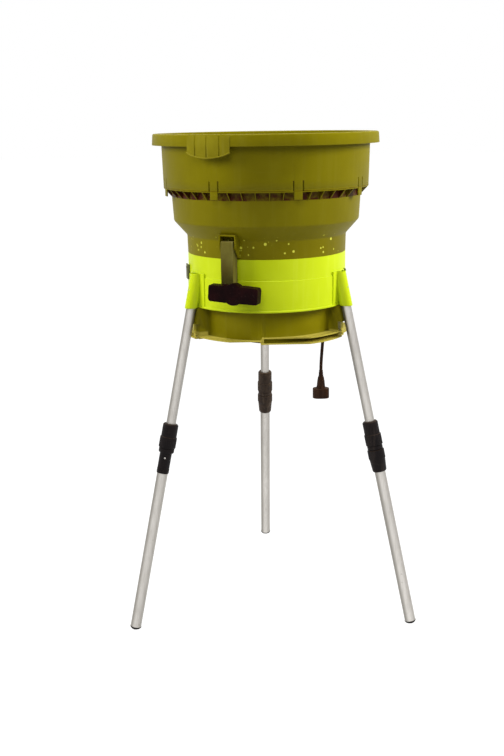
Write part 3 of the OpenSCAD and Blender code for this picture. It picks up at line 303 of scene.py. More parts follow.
blackRubber = {
    "tone": rgb(30, 26, 24), "shade": rgb(20, 17, 16), "pale": rgb(104, 96, 84), "dust": rgb(96, 86, 66),
    "cloudScale": 40, "rubs": 0.2, "scuffs": 0.25, "dustShare": 0.4,
    "rough": 0.68, "roughSpread": 0.15, "shine": 0.1, "grain": 0.5, "grainScale": 600,
}
cordRubber = {
    "tone": rgb(48, 27, 13), "shade": rgb(30, 15, 7), "pale": rgb(112, 84, 66), "dust": rgb(104, 82, 66),
    "cloudScale": 90, "rubs": 0.3, "scuffs": 0.25, "dustShare": 0.6,
    "rough": 0.55, "roughSpread": 0.2, "shine": 0.14, "grain": 0.4, "grainScale": 700,
}


# The pebbled grip of the knob, with one pale chip
def knobMaterial(name, look):
    material, tree, shader, where = startMaterial(name)
    place = where.outputs["Object"]
    clouds = cloudOf(tree, place, 40, 4)
    colour = mixed(tree, ramp(tree, clouds, 0.35, 0.65), look["shade"], look["tone"])
    glints = cloudOf(tree, place, 230, 3, 0.7)
    colour = mixed(tree, ramp(tree, glints, 0.62, 0.75, look["glints"]), colour, look["pale"])
    moved = addNode(tree, "ShaderNodeVectorMath", {0: place, 1: look["chipPlace"]}, operation="SUBTRACT")
    bent = stretched(tree, moved.outputs[0], (1.6, 1.6, 0.75), (0, math.radians(look["chipLean"]), 0))
    distance = addNode(tree, "ShaderNodeVectorMath", {0: bent}, operation="LENGTH").outputs[1]
    ragged = combined(tree, distance, ramp(tree, cloudOf(tree, place, 420, 2), 0.2, 0.8, 0.002), "ADD")
    chip = ramp(tree, ragged, look["chipSize"] * mm, look["chipSize"] * 0.7 * mm)
    tree.links.new(mixed(tree, chip, colour, look["chip"]), shader.inputs["Base Color"])
    shader.inputs["Roughness"].default_value = look["rough"]
    shader.inputs["Specular IOR Level"].default_value = look["shine"]
    pebbles = addNode(tree, "ShaderNodeTexVoronoi", {"Vector": place, "Scale": look["pebbleScale"]}, feature="SMOOTH_F1")
    normal = bumpFrom(tree, pebbles.outputs["Distance"], 0.9, 0.5)
    tree.links.new(normal, shader.inputs["Normal"])
    return material


knobPlastic = {
    "tone": rgb(26, 5, 6), "shade": rgb(12, 1, 2), "pale": rgb(84, 64, 60), "glints": 0.35,
    "chip": rgb(248, 226, 200), "chipPlace": (-0.1135, -0.2065, 0.8015), "chipLean": -22, "chipSize": 5.2,
    "rough": 0.55, "shine": 0.06, "pebbleScale": 330,
}


# Worn metal: brushed along one direction, with spots and a soft tarnish, and on tubes painted shade down the left and
# right sides
def metalMaterial(name, look, turn=(0, 0, 0)):
    material, tree, shader, where = startMaterial(name)
    place = where.outputs["Object"]
    clouds = cloudOf(tree, place, look["cloudScale"], 5, 0.6)
    colour = mixed(tree, ramp(tree, clouds, 0.35, 0.7), look["shade"], look["tone"])
    brushed = cloudOf(tree, stretched(tree, place, look["brush"], turn), look["brushScale"], 5, 0.7)
    colour = mixed(tree, ramp(tree, brushed, 0.45, 0.75, look["streaks"]), colour, look["streak"])
    spots = cloudOf(tree, place, look["spotScale"], 3, 0.6)
    colour = mixed(tree, ramp(tree, spots, 0.66, 0.76, look["spots"]), colour, look["spot"])
    # Painted shade: darker down the left and right sides of the part, more on the left
    if "sideShadeTone" in look:
        across = partOf(tree, where.outputs["Normal"], 0)
        left = ramp(tree, across, -0.3, -0.75, look["sideShadeShare"])
        right = ramp(tree, across, 0.1, 0.7, look["sideShadeShare"] * 0.7)
        colour = mixed(tree, combined(tree, left, right, "MAXIMUM"), colour, look["sideShadeTone"])
    tree.links.new(colour, shader.inputs["Base Color"])
    shader.inputs["Metallic"].default_value = look["metal"]
    roughness = combined(tree, ramp(tree, brushed, 0.3, 0.7, look["roughSpread"]), look["rough"], "ADD")
    tree.links.new(roughness, shader.inputs["Roughness"])
    tree.links.new(bumpFrom(tree, brushed, look["grain"], 0.1), shader.inputs["Normal"])
    return material


silverTube = {
    "tone": rgb(224, 220, 214), "shade": rgb(204, 200, 194), "streak": rgb(176, 170, 162), "spot": rgb(132, 126, 110),
    # painted shade down the tube's sides
    "sideShadeTone": rgb(128, 124, 116), "sideShadeShare": 0.8,
    "cloudScale": 9, "brush": (1, 1, 0.03), "brushScale": 240, "streaks": 0.5, "spotScale": 85, "spots": 0.75,
    "metal": 0.72, "rough": 0.34, "roughSpread": 0.16, "grain": 0.1,
}
platedSteel = {
    "tone": rgb(178, 176, 170), "shade": rgb(140, 136, 128), "streak": rgb(200, 198, 192), "spot": rgb(110, 84, 56),
    "cloudScale": 60, "brush": (1, 1, 1), "brushScale": 300, "streaks": 0.3, "spotScale": 200, "spots": 0.4,
    "metal": 0.9, "rough": 0.32, "roughSpread": 0.15, "grain": 0.15,
}
bearingSteel = {
    "tone": rgb(206, 206, 208), "shade": rgb(180, 180, 184), "streak": rgb(226, 226, 228), "spot": rgb(150, 148, 140),
    "cloudScale": 50, "brush": (1, 1, 20), "brushScale": 60, "streaks": 0.3, "spotScale": 160, "spots": 0.2,
    "metal": 1.0, "rough": 0.22, "roughSpread": 0.1, "grain": 0.08,
}
laminationSteel = {
    "tone": rgb(128, 126, 124), "shade": rgb(100, 98, 96), "streak": rgb(150, 148, 146), "spot": rgb(96, 74, 56),
    "cloudScale": 40, "brush": (0.02, 0.02, 30), "brushScale": 60, "streaks": 0.7, "spotScale": 150, "spots": 0.4,
    "metal": 0.85, "rough": 0.42, "roughSpread": 0.2, "grain": 0.5,
}
copperWire = {
    "tone": rgb(190, 108, 58), "shade": rgb(158, 82, 42), "streak": rgb(220, 142, 86), "spot": rgb(110, 60, 36),
    "cloudScale": 60, "brush": (0.05, 0.05, 30), "brushScale": 50, "streaks": 0.7, "spotScale": 180, "spots": 0.3,
    "metal": 0.9, "rough": 0.3, "roughSpread": 0.15, "grain": 0.6,
}
brassFitting = {
    "tone": rgb(206, 172, 92), "shade": rgb(176, 142, 72), "streak": rgb(226, 196, 124), "spot": rgb(120, 92, 50),
    "cloudScale": 60, "brush": (1, 1, 1), "brushScale": 260, "streaks": 0.3, "spotScale": 200, "spots": 0.3,
    "metal": 0.95, "rough": 0.28, "roughSpread": 0.15, "grain": 0.1,
}
carbonBlock = dict(blackPlastic, tone=rgb(44, 44, 46), shade=rgb(32, 32, 34), rough=0.6)
orangeLine = dict(redPlastic, tone=rgb(214, 92, 26), shade=rgb(196, 78, 20), pale=rgb(240, 150, 90))

materials = {
    "hopper_plastic": plasticMaterial("hopperPlastic", hopperPlastic),
    "latch_plastic": plasticMaterial("latchPlastic", latchPlastic),
    "lime_plastic": plasticMaterial("limePlastic", limePlastic),
    "black_plastic": plasticMaterial("blackPlastic", blackPlastic),
    "grey_plastic": plasticMaterial("greyPlastic", greyPlastic),
    "brown_plastic": plasticMaterial("brownPlastic", brownPlastic),
    "knob_plastic": knobMaterial("knobPlastic", knobPlastic),
    "collar_plastic": plasticMaterial("collarPlastic", collarPlastic),
    "back_collar_plastic": plasticMaterial("backCollarPlastic", backCollarPlastic),
    "red_plastic": plasticMaterial("redPlastic", redPlastic),
    "dark_button": plasticMaterial("darkButton", darkButton),
    "plated_steel": metalMaterial("platedSteel", platedSteel),
    "bearing_steel": metalMaterial("bearingSteel", bearingSteel),
    "lamination_steel": metalMaterial("laminationSteel", laminationSteel),
    "copper_wire": metalMaterial("copperWire", copperWire),
    "brass_fitting": metalMaterial("brassFitting", brassFitting),
    "carbon": plasticMaterial("carbonBlock", carbonBlock),
    "black_rubber": plasticMaterial("blackRubber", blackRubber),
    "orange_line": plasticMaterial("orangeLine", orangeLine),
    "cord_rubber": plasticMaterial("cordRubber", cordRubber),
}
print("materials made")


# Mesh helpers. A line is a list of (radius, height) or (radius, height, rounding) in millimetres
def drawLine(bm, line, closed=True, start=0):
    old = set(bm.verts)
    turn = around(start)
    verts = [bm.verts.new(turn @ Vector((point[0], 0, point[1])) * mm) for point in line]
    ends = verts[1:] + verts[:1] if closed else verts[1:]
    for pair in zip(verts, ends):
        bm.edges.new(pair)
    for radius in sorted({point[2] for point in line if len(point) > 2}):
        corners = [v for v, point in zip(verts, line) if len(point) > 2 and point[2] == radius]
        bmesh.ops.bevel(
            bm, geom=corners, offset=radius * mm, offset_type="OFFSET", segments=4, profile=0.5,
            affect="VERTICES", material=-1, clamp_overlap=True)
    fresh = [v for v in bm.verts if v not in old]
    return fresh, list({edge for v in fresh for edge in v.link_edges})


def fillEnds(bm, verts):
    rims = {edge for v in verts for edge in v.link_edges if edge.is_boundary}
    bmesh.ops.holes_fill(bm, edges=list(rims), sides=0)


def lathe(bm, line, steps=240, start=0, sweep=360, closed=True):
    old = set(bm.verts)
    verts, edges = drawLine(bm, line, closed, start)
    bmesh.ops.spin(
        bm, geom=verts + edges, cent=(0, 0, 0), axis=(0, 0, 1), dvec=(0, 0, 0), angle=math.radians(sweep),
        steps=steps, use_merge=sweep == 360, use_duplicate=False)
    fresh = [v for v in bm.verts if v not in old]
    if closed and sweep != 360:
        fillEnds(bm, fresh)
    return fresh


def plate(bm, outline, thick, place=None, soft=0.0):
    old = set(bm.verts)
    verts, edges = drawLine(bm, outline)
    bmesh.ops.edgeloop_fill(bm, edges=edges)
    face = verts[0].link_faces[0]
    raised = bmesh.ops.extrude_face_region(bm, geom=[face])["geom"]
    moved = [item for item in raised if isinstance(item, bmesh.types.BMVert)]
    bmesh.ops.translate(bm, verts=moved, vec=(0, thick * mm, 0))
    fresh = [v for v in bm.verts if v not in old]
    bmesh.ops.translate(bm, verts=fresh, vec=(0, -thick * mm / 2, 0))
    if place:
        bmesh.ops.transform(bm, matrix=place, verts=fresh)
    if soft:
        soften(bm, fresh, soft)
    return [v for v in bm.verts if v not in old]


def block(bm, low, high, place=None, soft=0.0):
    old = set(bm.verts)
    size = [(b - a) * mm for a, b in zip(low, high)]
    middle = [(a + b) / 2 * mm for a, b in zip(low, high)]
    shape = Matrix.Translation(middle) @ Matrix.Diagonal((*size, 1))
    bmesh.ops.create_cube(bm, size=1, matrix=(place or Matrix()) @ shape)
    fresh = [v for v in bm.verts if v not in old]
    if soft:
        soften(bm, fresh, soft)
    return [v for v in bm.verts if v not in old]


def soften(bm, verts, width, segments=2, least=35):
    chosen = set(verts)
    edges = [
        edge for edge in {e for v in verts for e in v.link_edges}
        if len(edge.link_faces) == 2 and set(edge.verts) <= chosen
        and edge.calc_face_angle(0) > math.radians(least)
    ]
    bmesh.ops.bevel(
        bm, geom=edges, offset=width * mm, offset_type="OFFSET", segments=segments, profile=0.5,
        affect="EDGES", material=-1, clamp_overlap=True)


def finishPiece(name, bm, body, slot, replaces=(), material=None, sharp=38, place=None):
    bmesh.ops.remove_doubles(bm, verts=bm.verts, dist=0.01 * mm)
    bmesh.ops.recalc_face_normals(bm, faces=bm.faces)
    if place:
        bmesh.ops.transform(bm, matrix=place, verts=bm.verts)
    mesh = bpy.data.meshes.new(name)
    bm.to_mesh(mesh)
    bm.free()
    mesh.shade_smooth()
    mesh.set_sharp_from_angle(angle=math.radians(sharp))
    piece = bpy.data.objects.new(name, mesh)
    scene.collection.objects.link(piece)
    mesh.materials.append(material or materials[slot])
    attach(piece, body)
    if replaces:
        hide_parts(*replaces)
    return piece


def addBevel(piece, width, least=38, segments=2):
    bevel = piece.modifiers.new("softEdges", "BEVEL")
    bevel.width = width * mm
    bevel.segments = segments
    bevel.limit_method = "ANGLE"
    bevel.angle_limit = math.radians(least)
    bevel.use_clamp_overlap = True


# A copy of a node's solid with its loose triangles joined and its edges rounded
def copySolid(name, node, body, slot, width, segments=2, least=30):
    bm = bmesh.new()
    bm.from_mesh(nodes[node].data)
    bmesh.ops.remove_doubles(bm, verts=bm.verts, dist=0.01 * mm)
    bmesh.ops.dissolve_limit(
        bm, angle_limit=math.radians(0.5), verts=bm.verts, edges=bm.edges, use_dissolve_boundaries=False)
    soften(bm, list(bm.verts), width, segments, least)
    return finishPiece(name, bm, body, slot, [node])


# Cord and what is on it
cordLook = {
    "diameter": 7.4,
    "route": [  # the same points as the part's own route
        (126, -73, 705), (126, -73, 697), (126, -73, 689), (125.9, -73, 681), (125.7, -73, 673),
        (125.3, -73, 665), (124.8, -73, 656), (124.2, -73, 647), (123.5, -73, 638), (122.8, -73, 629),
        (122.2, -73, 620), (121.7, -73, 612), (121.3, -73, 604), (121, -73, 596), (121, -73, 588),
    ],
}
plugLook = {
    "reliefH": 14, "bodyH": 29, "shroudH": 23, "shroudW": 38.4, "shroudD": 26, "shroudWall": 2.4, "floor": 4,
}


def makeGland(route):
    x, y, low = route[0]
    high = highOf("cord_gland")
    bm = bmesh.new()
    lathe(bm, [
        (0, low), (4.6, low, 0.4), (4.9, low + 3, 0.3), (4.3, low + 3.6), (4.4, low + 5), (5.1, low + 5.6, 0.3),
        (5.3, low + 8.8, 0.3), (4.7, low + 9.4), (4.8, low + 10.8), (5.5, low + 11.4, 0.3),
        (5.8, low + 14.6, 0.3), (5.1, low + 15.2), (5.2, low + 16.6), (6, low + 17.2, 0.3), (6.6, low + 23),
        (8.9, low + 24, 0.5), (8.9, high, 0.3), (0, high),
    ], 40, closed=False)
    place = Matrix.Translation((x * mm, y * mm, 0))
    return finishPiece("cord_relief", bm, "root", "black_plastic", ["cord_gland"], place=place)


def makePlug(look, route):
    x, y, top = route[-1]
    relief = top - look["reliefH"]
    shroudTop = relief - look["bodyH"]
    shroudLow = shroudTop - look["shroudH"]
    bm = bmesh.new()
    lathe(bm, [
        (0, top), (4.5, top, 0.6), (5.1, top - 2.6, 0.8), (3.9, top - 4), (5.2, top - 5.2, 0.9),
        (5.4, top - 8, 0.9), (4.1, top - 9.4), (5.6, top - 10.6, 0.8), (5.7, top - 12.6, 0.6),
        (5.1, relief + 0.6), (6.9, relief - 2, 1.5), (8.6, relief - 12), (9.9, shroudTop + 4, 1.5),
        (11.2, shroudTop + 1), (11.4, shroudTop - 2), (0, shroudTop - 2),
    ], 48, closed=False)
    reach = (look["shroudW"] - look["shroudD"]) / 2
    half = look["shroudD"] / 2
    for side in (-1, 1):  # finger flats on the body
        block(bm, (-7, side * 7.2 - 1.2, shroudTop + 4), (7, side * 7.2 + 1.2, shroudTop + 20), soft=0.9)
    verts = plate(bm, [
        (-reach - half, -half, half * 0.98), (reach + half, -half, half * 0.98),
        (reach + half, half, half * 0.98), (-reach - half, half, half * 0.98)], look["shroudH"])
    stand = Matrix.Translation((0, 0, (shroudTop + shroudLow) / 2 * mm)) @ Matrix.Rotation(math.pi / 2, 4, "X")
    bmesh.ops.transform(bm, matrix=stand, verts=verts)
    bottom = min((f for v in verts for f in v.link_faces), key=lambda f: f.calc_center_median().z)
    bmesh.ops.inset_individual(bm, faces=[bottom], thickness=look["shroudWall"] * mm, use_even_offset=True)
    bmesh.ops.translate(bm, verts=bottom.verts, vec=(0, 0, (look["shroudH"] - look["floor"]) * mm))
    soften(bm, [v for v in bm.verts if v.co.z < (shroudTop + 0.01) * mm], 1.3, 3, 50)
    place = Matrix.Translation((x * mm, y * mm, 0))
    return finishPiece("plug_body", bm, "root", "cord_rubber", ["plug"], place=place)


def makeCord(look, onIt):
    route = [Vector(point) * mm for point in look["route"]]
    curve = bpy.data.curves.new("mainsCord", "CURVE")
    curve.dimensions = "3D"
    curve.bevel_depth = look["diameter"] * mm / 2
    curve.bevel_resolution = 5
    curve.use_fill_caps = True
    spline = curve.splines.new("POLY")
    spline.points.add(len(route) - 1)
    for point, place in zip(spline.points, route):
        point.co = (*place, 1)
    spline.use_smooth = True
    cord = bpy.data.objects.new("mains_cord", curve)
    scene.collection.objects.link(cord)
    curve.materials.append(materials["cord_rubber"])
    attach(cord, "root")
    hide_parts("cord")


makeGland(cordLook["route"])
makeCord(cordLook, [makePlug(plugLook, cordLook["route"]), nodes["plug_blades"]])
print("cord, plug and relief made")


# Upper hopper: one sheet from the rim's lower edge over the top and down the drum, then given its wall
upperHopper = {
    "wall": 2.5, "rimH": 24.5, "rimR": 257.4, "rimDraft": 1.8, "rimRound": 3.2, "drumTopR": 236.4, "drumLowR": 234,
    "tabs": 8, "firstTab": 15, "tabHalf": 2.25, "slitHalf": 3.0, "slitH": 21.5, "tabDrop": 18, "steps": 480,
    "grooveUp": 2.8, "grooveDeep": 0.5, "catchReach": 2.7, "catchH": 4,
}
hopperTop = highOf("upper_hopper")
rimBottom = hopperTop - upperHopper["rimH"]
shelfZ = lowOf("upper_hopper") + upperHopper["tabDrop"]
seatZ = highOf("base_ring")
standZ = lowOf("base_ring")


def makeUpperHopper(look):
    topIn = look["drumTopR"] - look["wall"]
    lowIn = look["drumLowR"] - look["wall"]
    slitTop = shelfZ + look["slitH"]

    def innerAt(z):
        return lowIn + (topIn - lowIn) * (z - shelfZ) / (rimBottom + 3 - shelfZ)

    groove = shelfZ + look["grooveUp"]
    deep = look["grooveDeep"]
    bm = bmesh.new()
    lathe(bm, [
        (look["rimR"], rimBottom), (look["rimR"] - look["rimDraft"], hopperTop, look["rimRound"]),
        (topIn, hopperTop, look["rimRound"]), (topIn, rimBottom + 3), (innerAt(slitTop), slitTop),
        (innerAt(groove) , groove + 1.2), (lowIn - deep, groove + 0.7), (lowIn - deep, groove),
        (lowIn, groove - 0.5), (lowIn, shelfZ), (lowIn, shelfZ - look["tabDrop"]),
    ], look["steps"], closed=False)
    gone = []
    for face in bm.faces:
        middle = face.calc_center_median() / mm
        if middle.xy.length > look["drumTopR"] or middle.z > slitTop:
            continue
        turn = (math.degrees(math.atan2(middle.y, middle.x)) - look["firstTab"]) % (360 / look["tabs"])
        away = min(turn, 360 / look["tabs"] - turn)
        if look["tabHalf"] < away < look["slitHalf"] or (middle.z < shelfZ and away > look["tabHalf"]):
            gone.append(face)
    bmesh.ops.delete(bm, geom=gone, context="FACES")
    bmesh.ops.remove_doubles(bm, verts=bm.verts, dist=0.01 * mm)
    bmesh.ops.recalc_face_normals(bm, faces=bm.faces)
    edge = max(bm.faces, key=lambda f: f.calc_center_median().xy.length)
    if edge.normal.dot(edge.calc_center_median()) < 0:
        bmesh.ops.reverse_faces(bm, faces=bm.faces)
    mesh = bpy.data.meshes.new("hopper_drum")
    bm.to_mesh(mesh)
    bm.free()
    mesh.shade_smooth()
    mesh.materials.append(materials["hopper_plastic"])
    piece = bpy.data.objects.new("hopper_drum", mesh)
    scene.collection.objects.link(piece)
    wall = piece.modifiers.new("wall", "SOLIDIFY")
    wall.thickness = look["wall"] * mm
    wall.offset = -1
    wall.use_even_offset = True
    addBevel(piece, 0.5, 50)
    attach(piece, "hopper")
    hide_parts("upper_hopper")

    catches = bmesh.new()
    inner = lowIn + 0.2
    high = shelfZ - 2.8
    for i in range(look["tabs"]):
        start = look["firstTab"] + i * 360 / look["tabs"] - look["tabHalf"] + 0.5
        lathe(catches, [(inner + 1, high), (inner - look["catchReach"], high), (inner + 1, high - look["catchH"])],
            6, start, 2 * look["tabHalf"] - 1)
    finishPiece("tab_catches", catches, "hopper", "hopper_plastic")


gripPlastic = dict(
    hopperPlastic, tone=rgb(132, 123, 22), shade=rgb(116, 107, 12), pale=rgb(166, 158, 76), cloudScale=14, rubs=0.2,
    scuffs=0.1)

# Grip lips: a panel over the rim's face with three flutes, its lower edge bowed and beaded
gripLip = {
    "azimuths": (240, 60), "width": 103, "drop": 25, "bow": 11, "bead": 3, "proud": 0.7, "topGap": 3.5,
    "flutes": (-6.7, -0.3, 6.4), "fluteDeep": 2.2, "fluteHalf": 0.34, "steps": 192,
}


def makeGripLips(look, hopper):
    half = math.degrees(math.asin(look["width"] / 2 / hopper["rimR"]))
    bowR = ((look["width"] / 2) ** 2 + look["bow"] ** 2) / (2 * look["bow"])
    lowest = rimBottom - look["drop"]
    top = hopperTop - look["topGap"]
    outer = hopper["rimR"] + look["proud"]
    inner = hopper["rimR"] - hopper["wall"] + 0.4
    draft = hopper["rimDraft"]

    def bowAt(azimuth):
        side = hopper["rimR"] * math.sin(math.radians(azimuth))
        return lowest + bowR - math.sqrt(bowR ** 2 - min(abs(side), bowR) ** 2)

    bm = bmesh.new()
    for centre in look["azimuths"]:
        panel = lathe(bm, [
            (inner, lowest), (outer, lowest), (outer, rimBottom), (outer - draft * 0.9, top, 0.6),
            (inner - draft * 0.9, top), (inner, rimBottom)], look["steps"], -half, 2 * half)
        for v in panel:
            azimuth = math.degrees(math.atan2(v.co.y, v.co.x))
            share = (top - v.co.z / mm) / (top - lowest)
            v.co.z = (top - share * (top - bowAt(azimuth))) * mm
            if v.co.xy.length / mm > inner + 1:
                near = min(abs(azimuth - flute) for flute in look["flutes"])
                v.co.xy *= 1 - look["fluteDeep"] / outer * max(0, 1 - near / look["fluteHalf"])
        bead = lathe(bm, [
            (inner, lowest, 0.5), (outer + look["bead"] - 0.6, lowest, 1.2),
            (outer + look["bead"] - 0.6, lowest + 3, 1.2), (inner, lowest + 3, 0.5)],
            look["steps"], -half - 0.25, 2 * half + 0.5)
        for v in bead:
            v.co.z += (bowAt(math.degrees(math.atan2(v.co.y, v.co.x))) - lowest) * mm
        bmesh.ops.transform(bm, matrix=around(centre), verts=panel + bead)
    finishPiece("grip_lips", bm, "hopper", "hopper_plastic", material=plasticMaterial("gripPlastic", gripPlastic))


# Lower hopper: shelf, drum, funnel, neck and spigot in one turned wall, with ribs, shelf lugs and cheeks
lowerHopper = {
    "wall": 2.5, "shelfT": 2.5, "collarH": 19.5, "lowerTopR": 217.2, "lowerLowR": 212.8, "neckR": 182.5,
    "neckH": 40, "funnelH": 33, "bend": 2.6, "spigotR": 178, "spigotH": 26, "funnelIn": 169.5,
    "collarR": 231.2, "shelfR": 233.9, "steps": 360, "ribT": 1.8, "ribH": 21, "ribPitch": 7.5, "tabClear": 3,
    "lugHalf": 2.45,
}


def makeLowerHopper(look, upper):
    wall = look["wall"]
    drumZ = seatZ + look["neckH"] + look["funnelH"]
    neckZ = seatZ + look["neckH"]
    under = shelfZ - look["shelfT"]
    bm = bmesh.new()
    lathe(bm, [
        (look["neckR"], seatZ), (look["neckR"] + 1, neckZ, look["bend"]), (look["lowerLowR"], drumZ, look["bend"]),
        (look["lowerTopR"], under, 0.6), (look["collarR"], under), (look["collarR"], shelfZ + look["collarH"], 0.8),
        (look["collarR"] - wall, shelfZ + look["collarH"], 0.8), (look["collarR"] - wall, shelfZ, 0.8),
        (look["lowerTopR"] - wall, shelfZ, 1.5), (look["lowerLowR"] - wall, drumZ, look["bend"] - 1),
        (look["neckR"] + 1 - wall, neckZ, look["bend"] - 1), (look["neckR"] - wall, seatZ + 18, 2),
        (look["funnelIn"], seatZ + 6, 0.8), (look["funnelIn"], seatZ + 3, 0.8), (look["spigotR"] - wall, seatZ + 3),
        (look["spigotR"] - wall, seatZ - look["spigotH"], 0.6), (look["spigotR"], seatZ - look["spigotH"], 0.6),
        (look["spigotR"], seatZ),
    ], look["steps"])
    step = 360 / upper["tabs"]
    for i in range(upper["tabs"]):
        lathe(bm, [
            (look["collarR"] - 0.5, under), (look["shelfR"], under, 0.4), (look["shelfR"], shelfZ - 0.05, 0.4),
            (look["collarR"] - 0.5, shelfZ - 0.05)],
            50, upper["firstTab"] + i * step + look["lugHalf"], step - 2 * look["lugHalf"])
    for i in range(round(360 / look["ribPitch"])):
        azimuth = i * look["ribPitch"]
        away = (azimuth - upper["firstTab"]) % step
        if look["tabClear"] < away < step - look["tabClear"]:
            plate(bm, [
                (look["lowerTopR"] - 1.5, under + 0.3), (look["shelfR"] - 0.9, under + 0.3),
                (look["shelfR"] - 0.9, under - 1, 0.4), (look["lowerTopR"] - 0.5, shelfZ - look["ribH"], 0.6),
                (look["lowerTopR"] - 2.2, shelfZ - look["ribH"])], look["ribT"], around(azimuth), 0.35)
    makeCheeks(bm, look)
    finishPiece("hopper_funnel", bm, "hopper", "hopper_plastic", ["lower_hopper"])


latchLook = {
    "azimuth": 243.7, "armW": 29, "cheekGap": 2.7, "cheekT": 3, "pinOut": 17, "pinH": 27, "front": 6,
    "roofUp": 25, "roofT": 3, "roofIn": 10.3, "roofLean": 2.6,
}


def makeCheeks(bm, hopper):
    look = latchLook
    pinX = hopper["neckR"] + look["pinOut"]
    pinZ = seatZ + look["pinH"]
    front = pinX + look["front"]
    roofLow = pinZ + look["roofUp"]
    roofHigh = roofLow + look["roofT"]
    roofIn = hopper["neckR"] + look["roofIn"]
    half = look["armW"] / 2 + look["cheekGap"] + look["cheekT"]
    plate(bm, [
        (roofIn, roofLow), (front, roofLow, 0.6), (front, roofHigh, 0.9), (roofIn + look["roofLean"], roofHigh)],
        2 * half, around(look["azimuth"]))
    for side in (-1, 1):
        place = around(look["azimuth"]) @ Matrix.Translation(
            (0, side * (look["armW"] / 2 + look["cheekGap"] + look["cheekT"] / 2) * mm, 0))
        plate(bm, [
            (hopper["neckR"] - 1, seatZ + 5), (pinX - 9, seatZ + 5, 2), (pinX + 1, pinZ - 8, 3),
            (front, pinZ + 2, 2), (front, roofHigh, 0.6), (roofIn + look["roofLean"], roofHigh),
            (hopper["neckR"] - 1, seatZ + hopper["neckH"])],
            look["cheekT"], place, 0.5)


makeUpperHopper(upperHopper)
makeGripLips(gripLip, upperHopper)
makeLowerHopper(lowerHopper, upperHopper)
print("hoppers made")

# Latch arm and knob
copySolid("latch_lever", "latch_arm", "latch_arm", "latch_plastic", 1.1, 3)

knobLook = {
    "azimuth": 249.9, "z": 793, "x": 211, "thick": 25, "width": 112, "height": 38, "hubR": 23.5, "tilt": 4.5,
}


def makeKnob(look):
    half = look["width"] / 2
    tall = look["height"]
    stand = around(look["azimuth"]) @ Matrix.Translation((look["x"] * mm, 0, look["z"] * mm))
    stand = stand @ Matrix.Rotation(math.radians(-look["tilt"]), 4, "X")
    bm = bmesh.new()
    wing = plate(bm, [
        (-half, -0.38 * tall, 3), (-0.94 * half, -0.5 * tall, 2), (-0.3 * half, -0.5 * tall, 6),
        (half, -0.42 * tall, 3), (half, 0.38 * tall, 3), (0.94 * half, 0.5 * tall, 2),
        (0.3 * half, 0.5 * tall, 6), (-half, 0.42 * tall, 3)], look["thick"])
    turn = Matrix.Rotation(math.radians(90), 4, "Z") @ Matrix.Translation((0, -look["thick"] * mm / 2, 0))
    bmesh.ops.transform(bm, matrix=turn, verts=wing)
    hub = lathe(bm, [
        (0, 0), (look["hubR"], 0, 1.5), (look["hubR"], look["thick"] - 0.2, 2.5), (0, look["thick"] - 0.2)],
        64, closed=False)
    bmesh.ops.transform(bm, matrix=Matrix.Rotation(math.radians(90), 4, "Y"), verts=hub)
    finishPiece("wing_knob", bm, "clamp_knob", "knob_plastic", ["clamp_knob"], place=stand)


makeKnob(knobLook)
print("latch made")

# Base ring
ringLook = {
    "r": 182.5, "wall": 3, "bandProud": 2, "bandH": 69.5, "beadProud": 5, "beadH": 4, "ledgeRecess": 4.5,
    "ledgeT": 3, "ledgeIn": 168, "steps": 360, "stripHalf": 9, "stripProud": 4, "socketH": 77.5,
}
legLook = {
    "azimuths": {"left": 210, "right": 330, "back": 90}, "tilt": 13, "footCircle": 374.71, "ringS": 765.1,
    "tubeTop": 817.1, "sole": 5, "upperR": 11, "lowerR": 12.5, "tubeWall": 1.2, "socketR": 14.4, "screwS": 805.1,
}


def legPlace(leg):
    out = Matrix.Translation((legLook["footCircle"] * mm, 0, 0))
    return around(legLook["azimuths"][leg]) @ out @ Matrix.Rotation(math.radians(-legLook["tilt"]), 4, "Y")


def cutAway(bm, verts, point, normal):
    geometry = set(verts) | {e for v in verts for e in v.link_edges} | {f for v in verts for f in v.link_faces}
    bmesh.ops.bisect_plane(
        bm, geom=list(geometry), dist=0.001 * mm, plane_co=point, plane_no=normal, clear_outer=True)


def makeSocket(leg, look):
    bm = bmesh.new()
    lathe(bm, [(legLook["socketR"], legLook["ringS"] - 25), (legLook["socketR"], legLook["tubeTop"] + 60)],
        64, closed=False)
    bmesh.ops.transform(bm, matrix=legPlace(leg), verts=bm.verts)
    out = around(legLook["azimuths"][leg]) @ Vector((1, 0, 0))
    cutAway(bm, bm.verts, out * (look["r"] - 2.4) * mm, -out)
    cutAway(bm, bm.verts, (0, 0, (standZ + look["socketH"]) * mm), (0, 0, 1))
    cutAway(bm, bm.verts, (0, 0, standZ * mm), (0, 0, -1))
    fillEnds(bm, list(bm.verts))
    soften(bm, list(bm.verts), 1.0, 3, 40)
    mesh = bpy.data.meshes.new("socket")
    bm.to_mesh(mesh)
    bm.free()
    return mesh


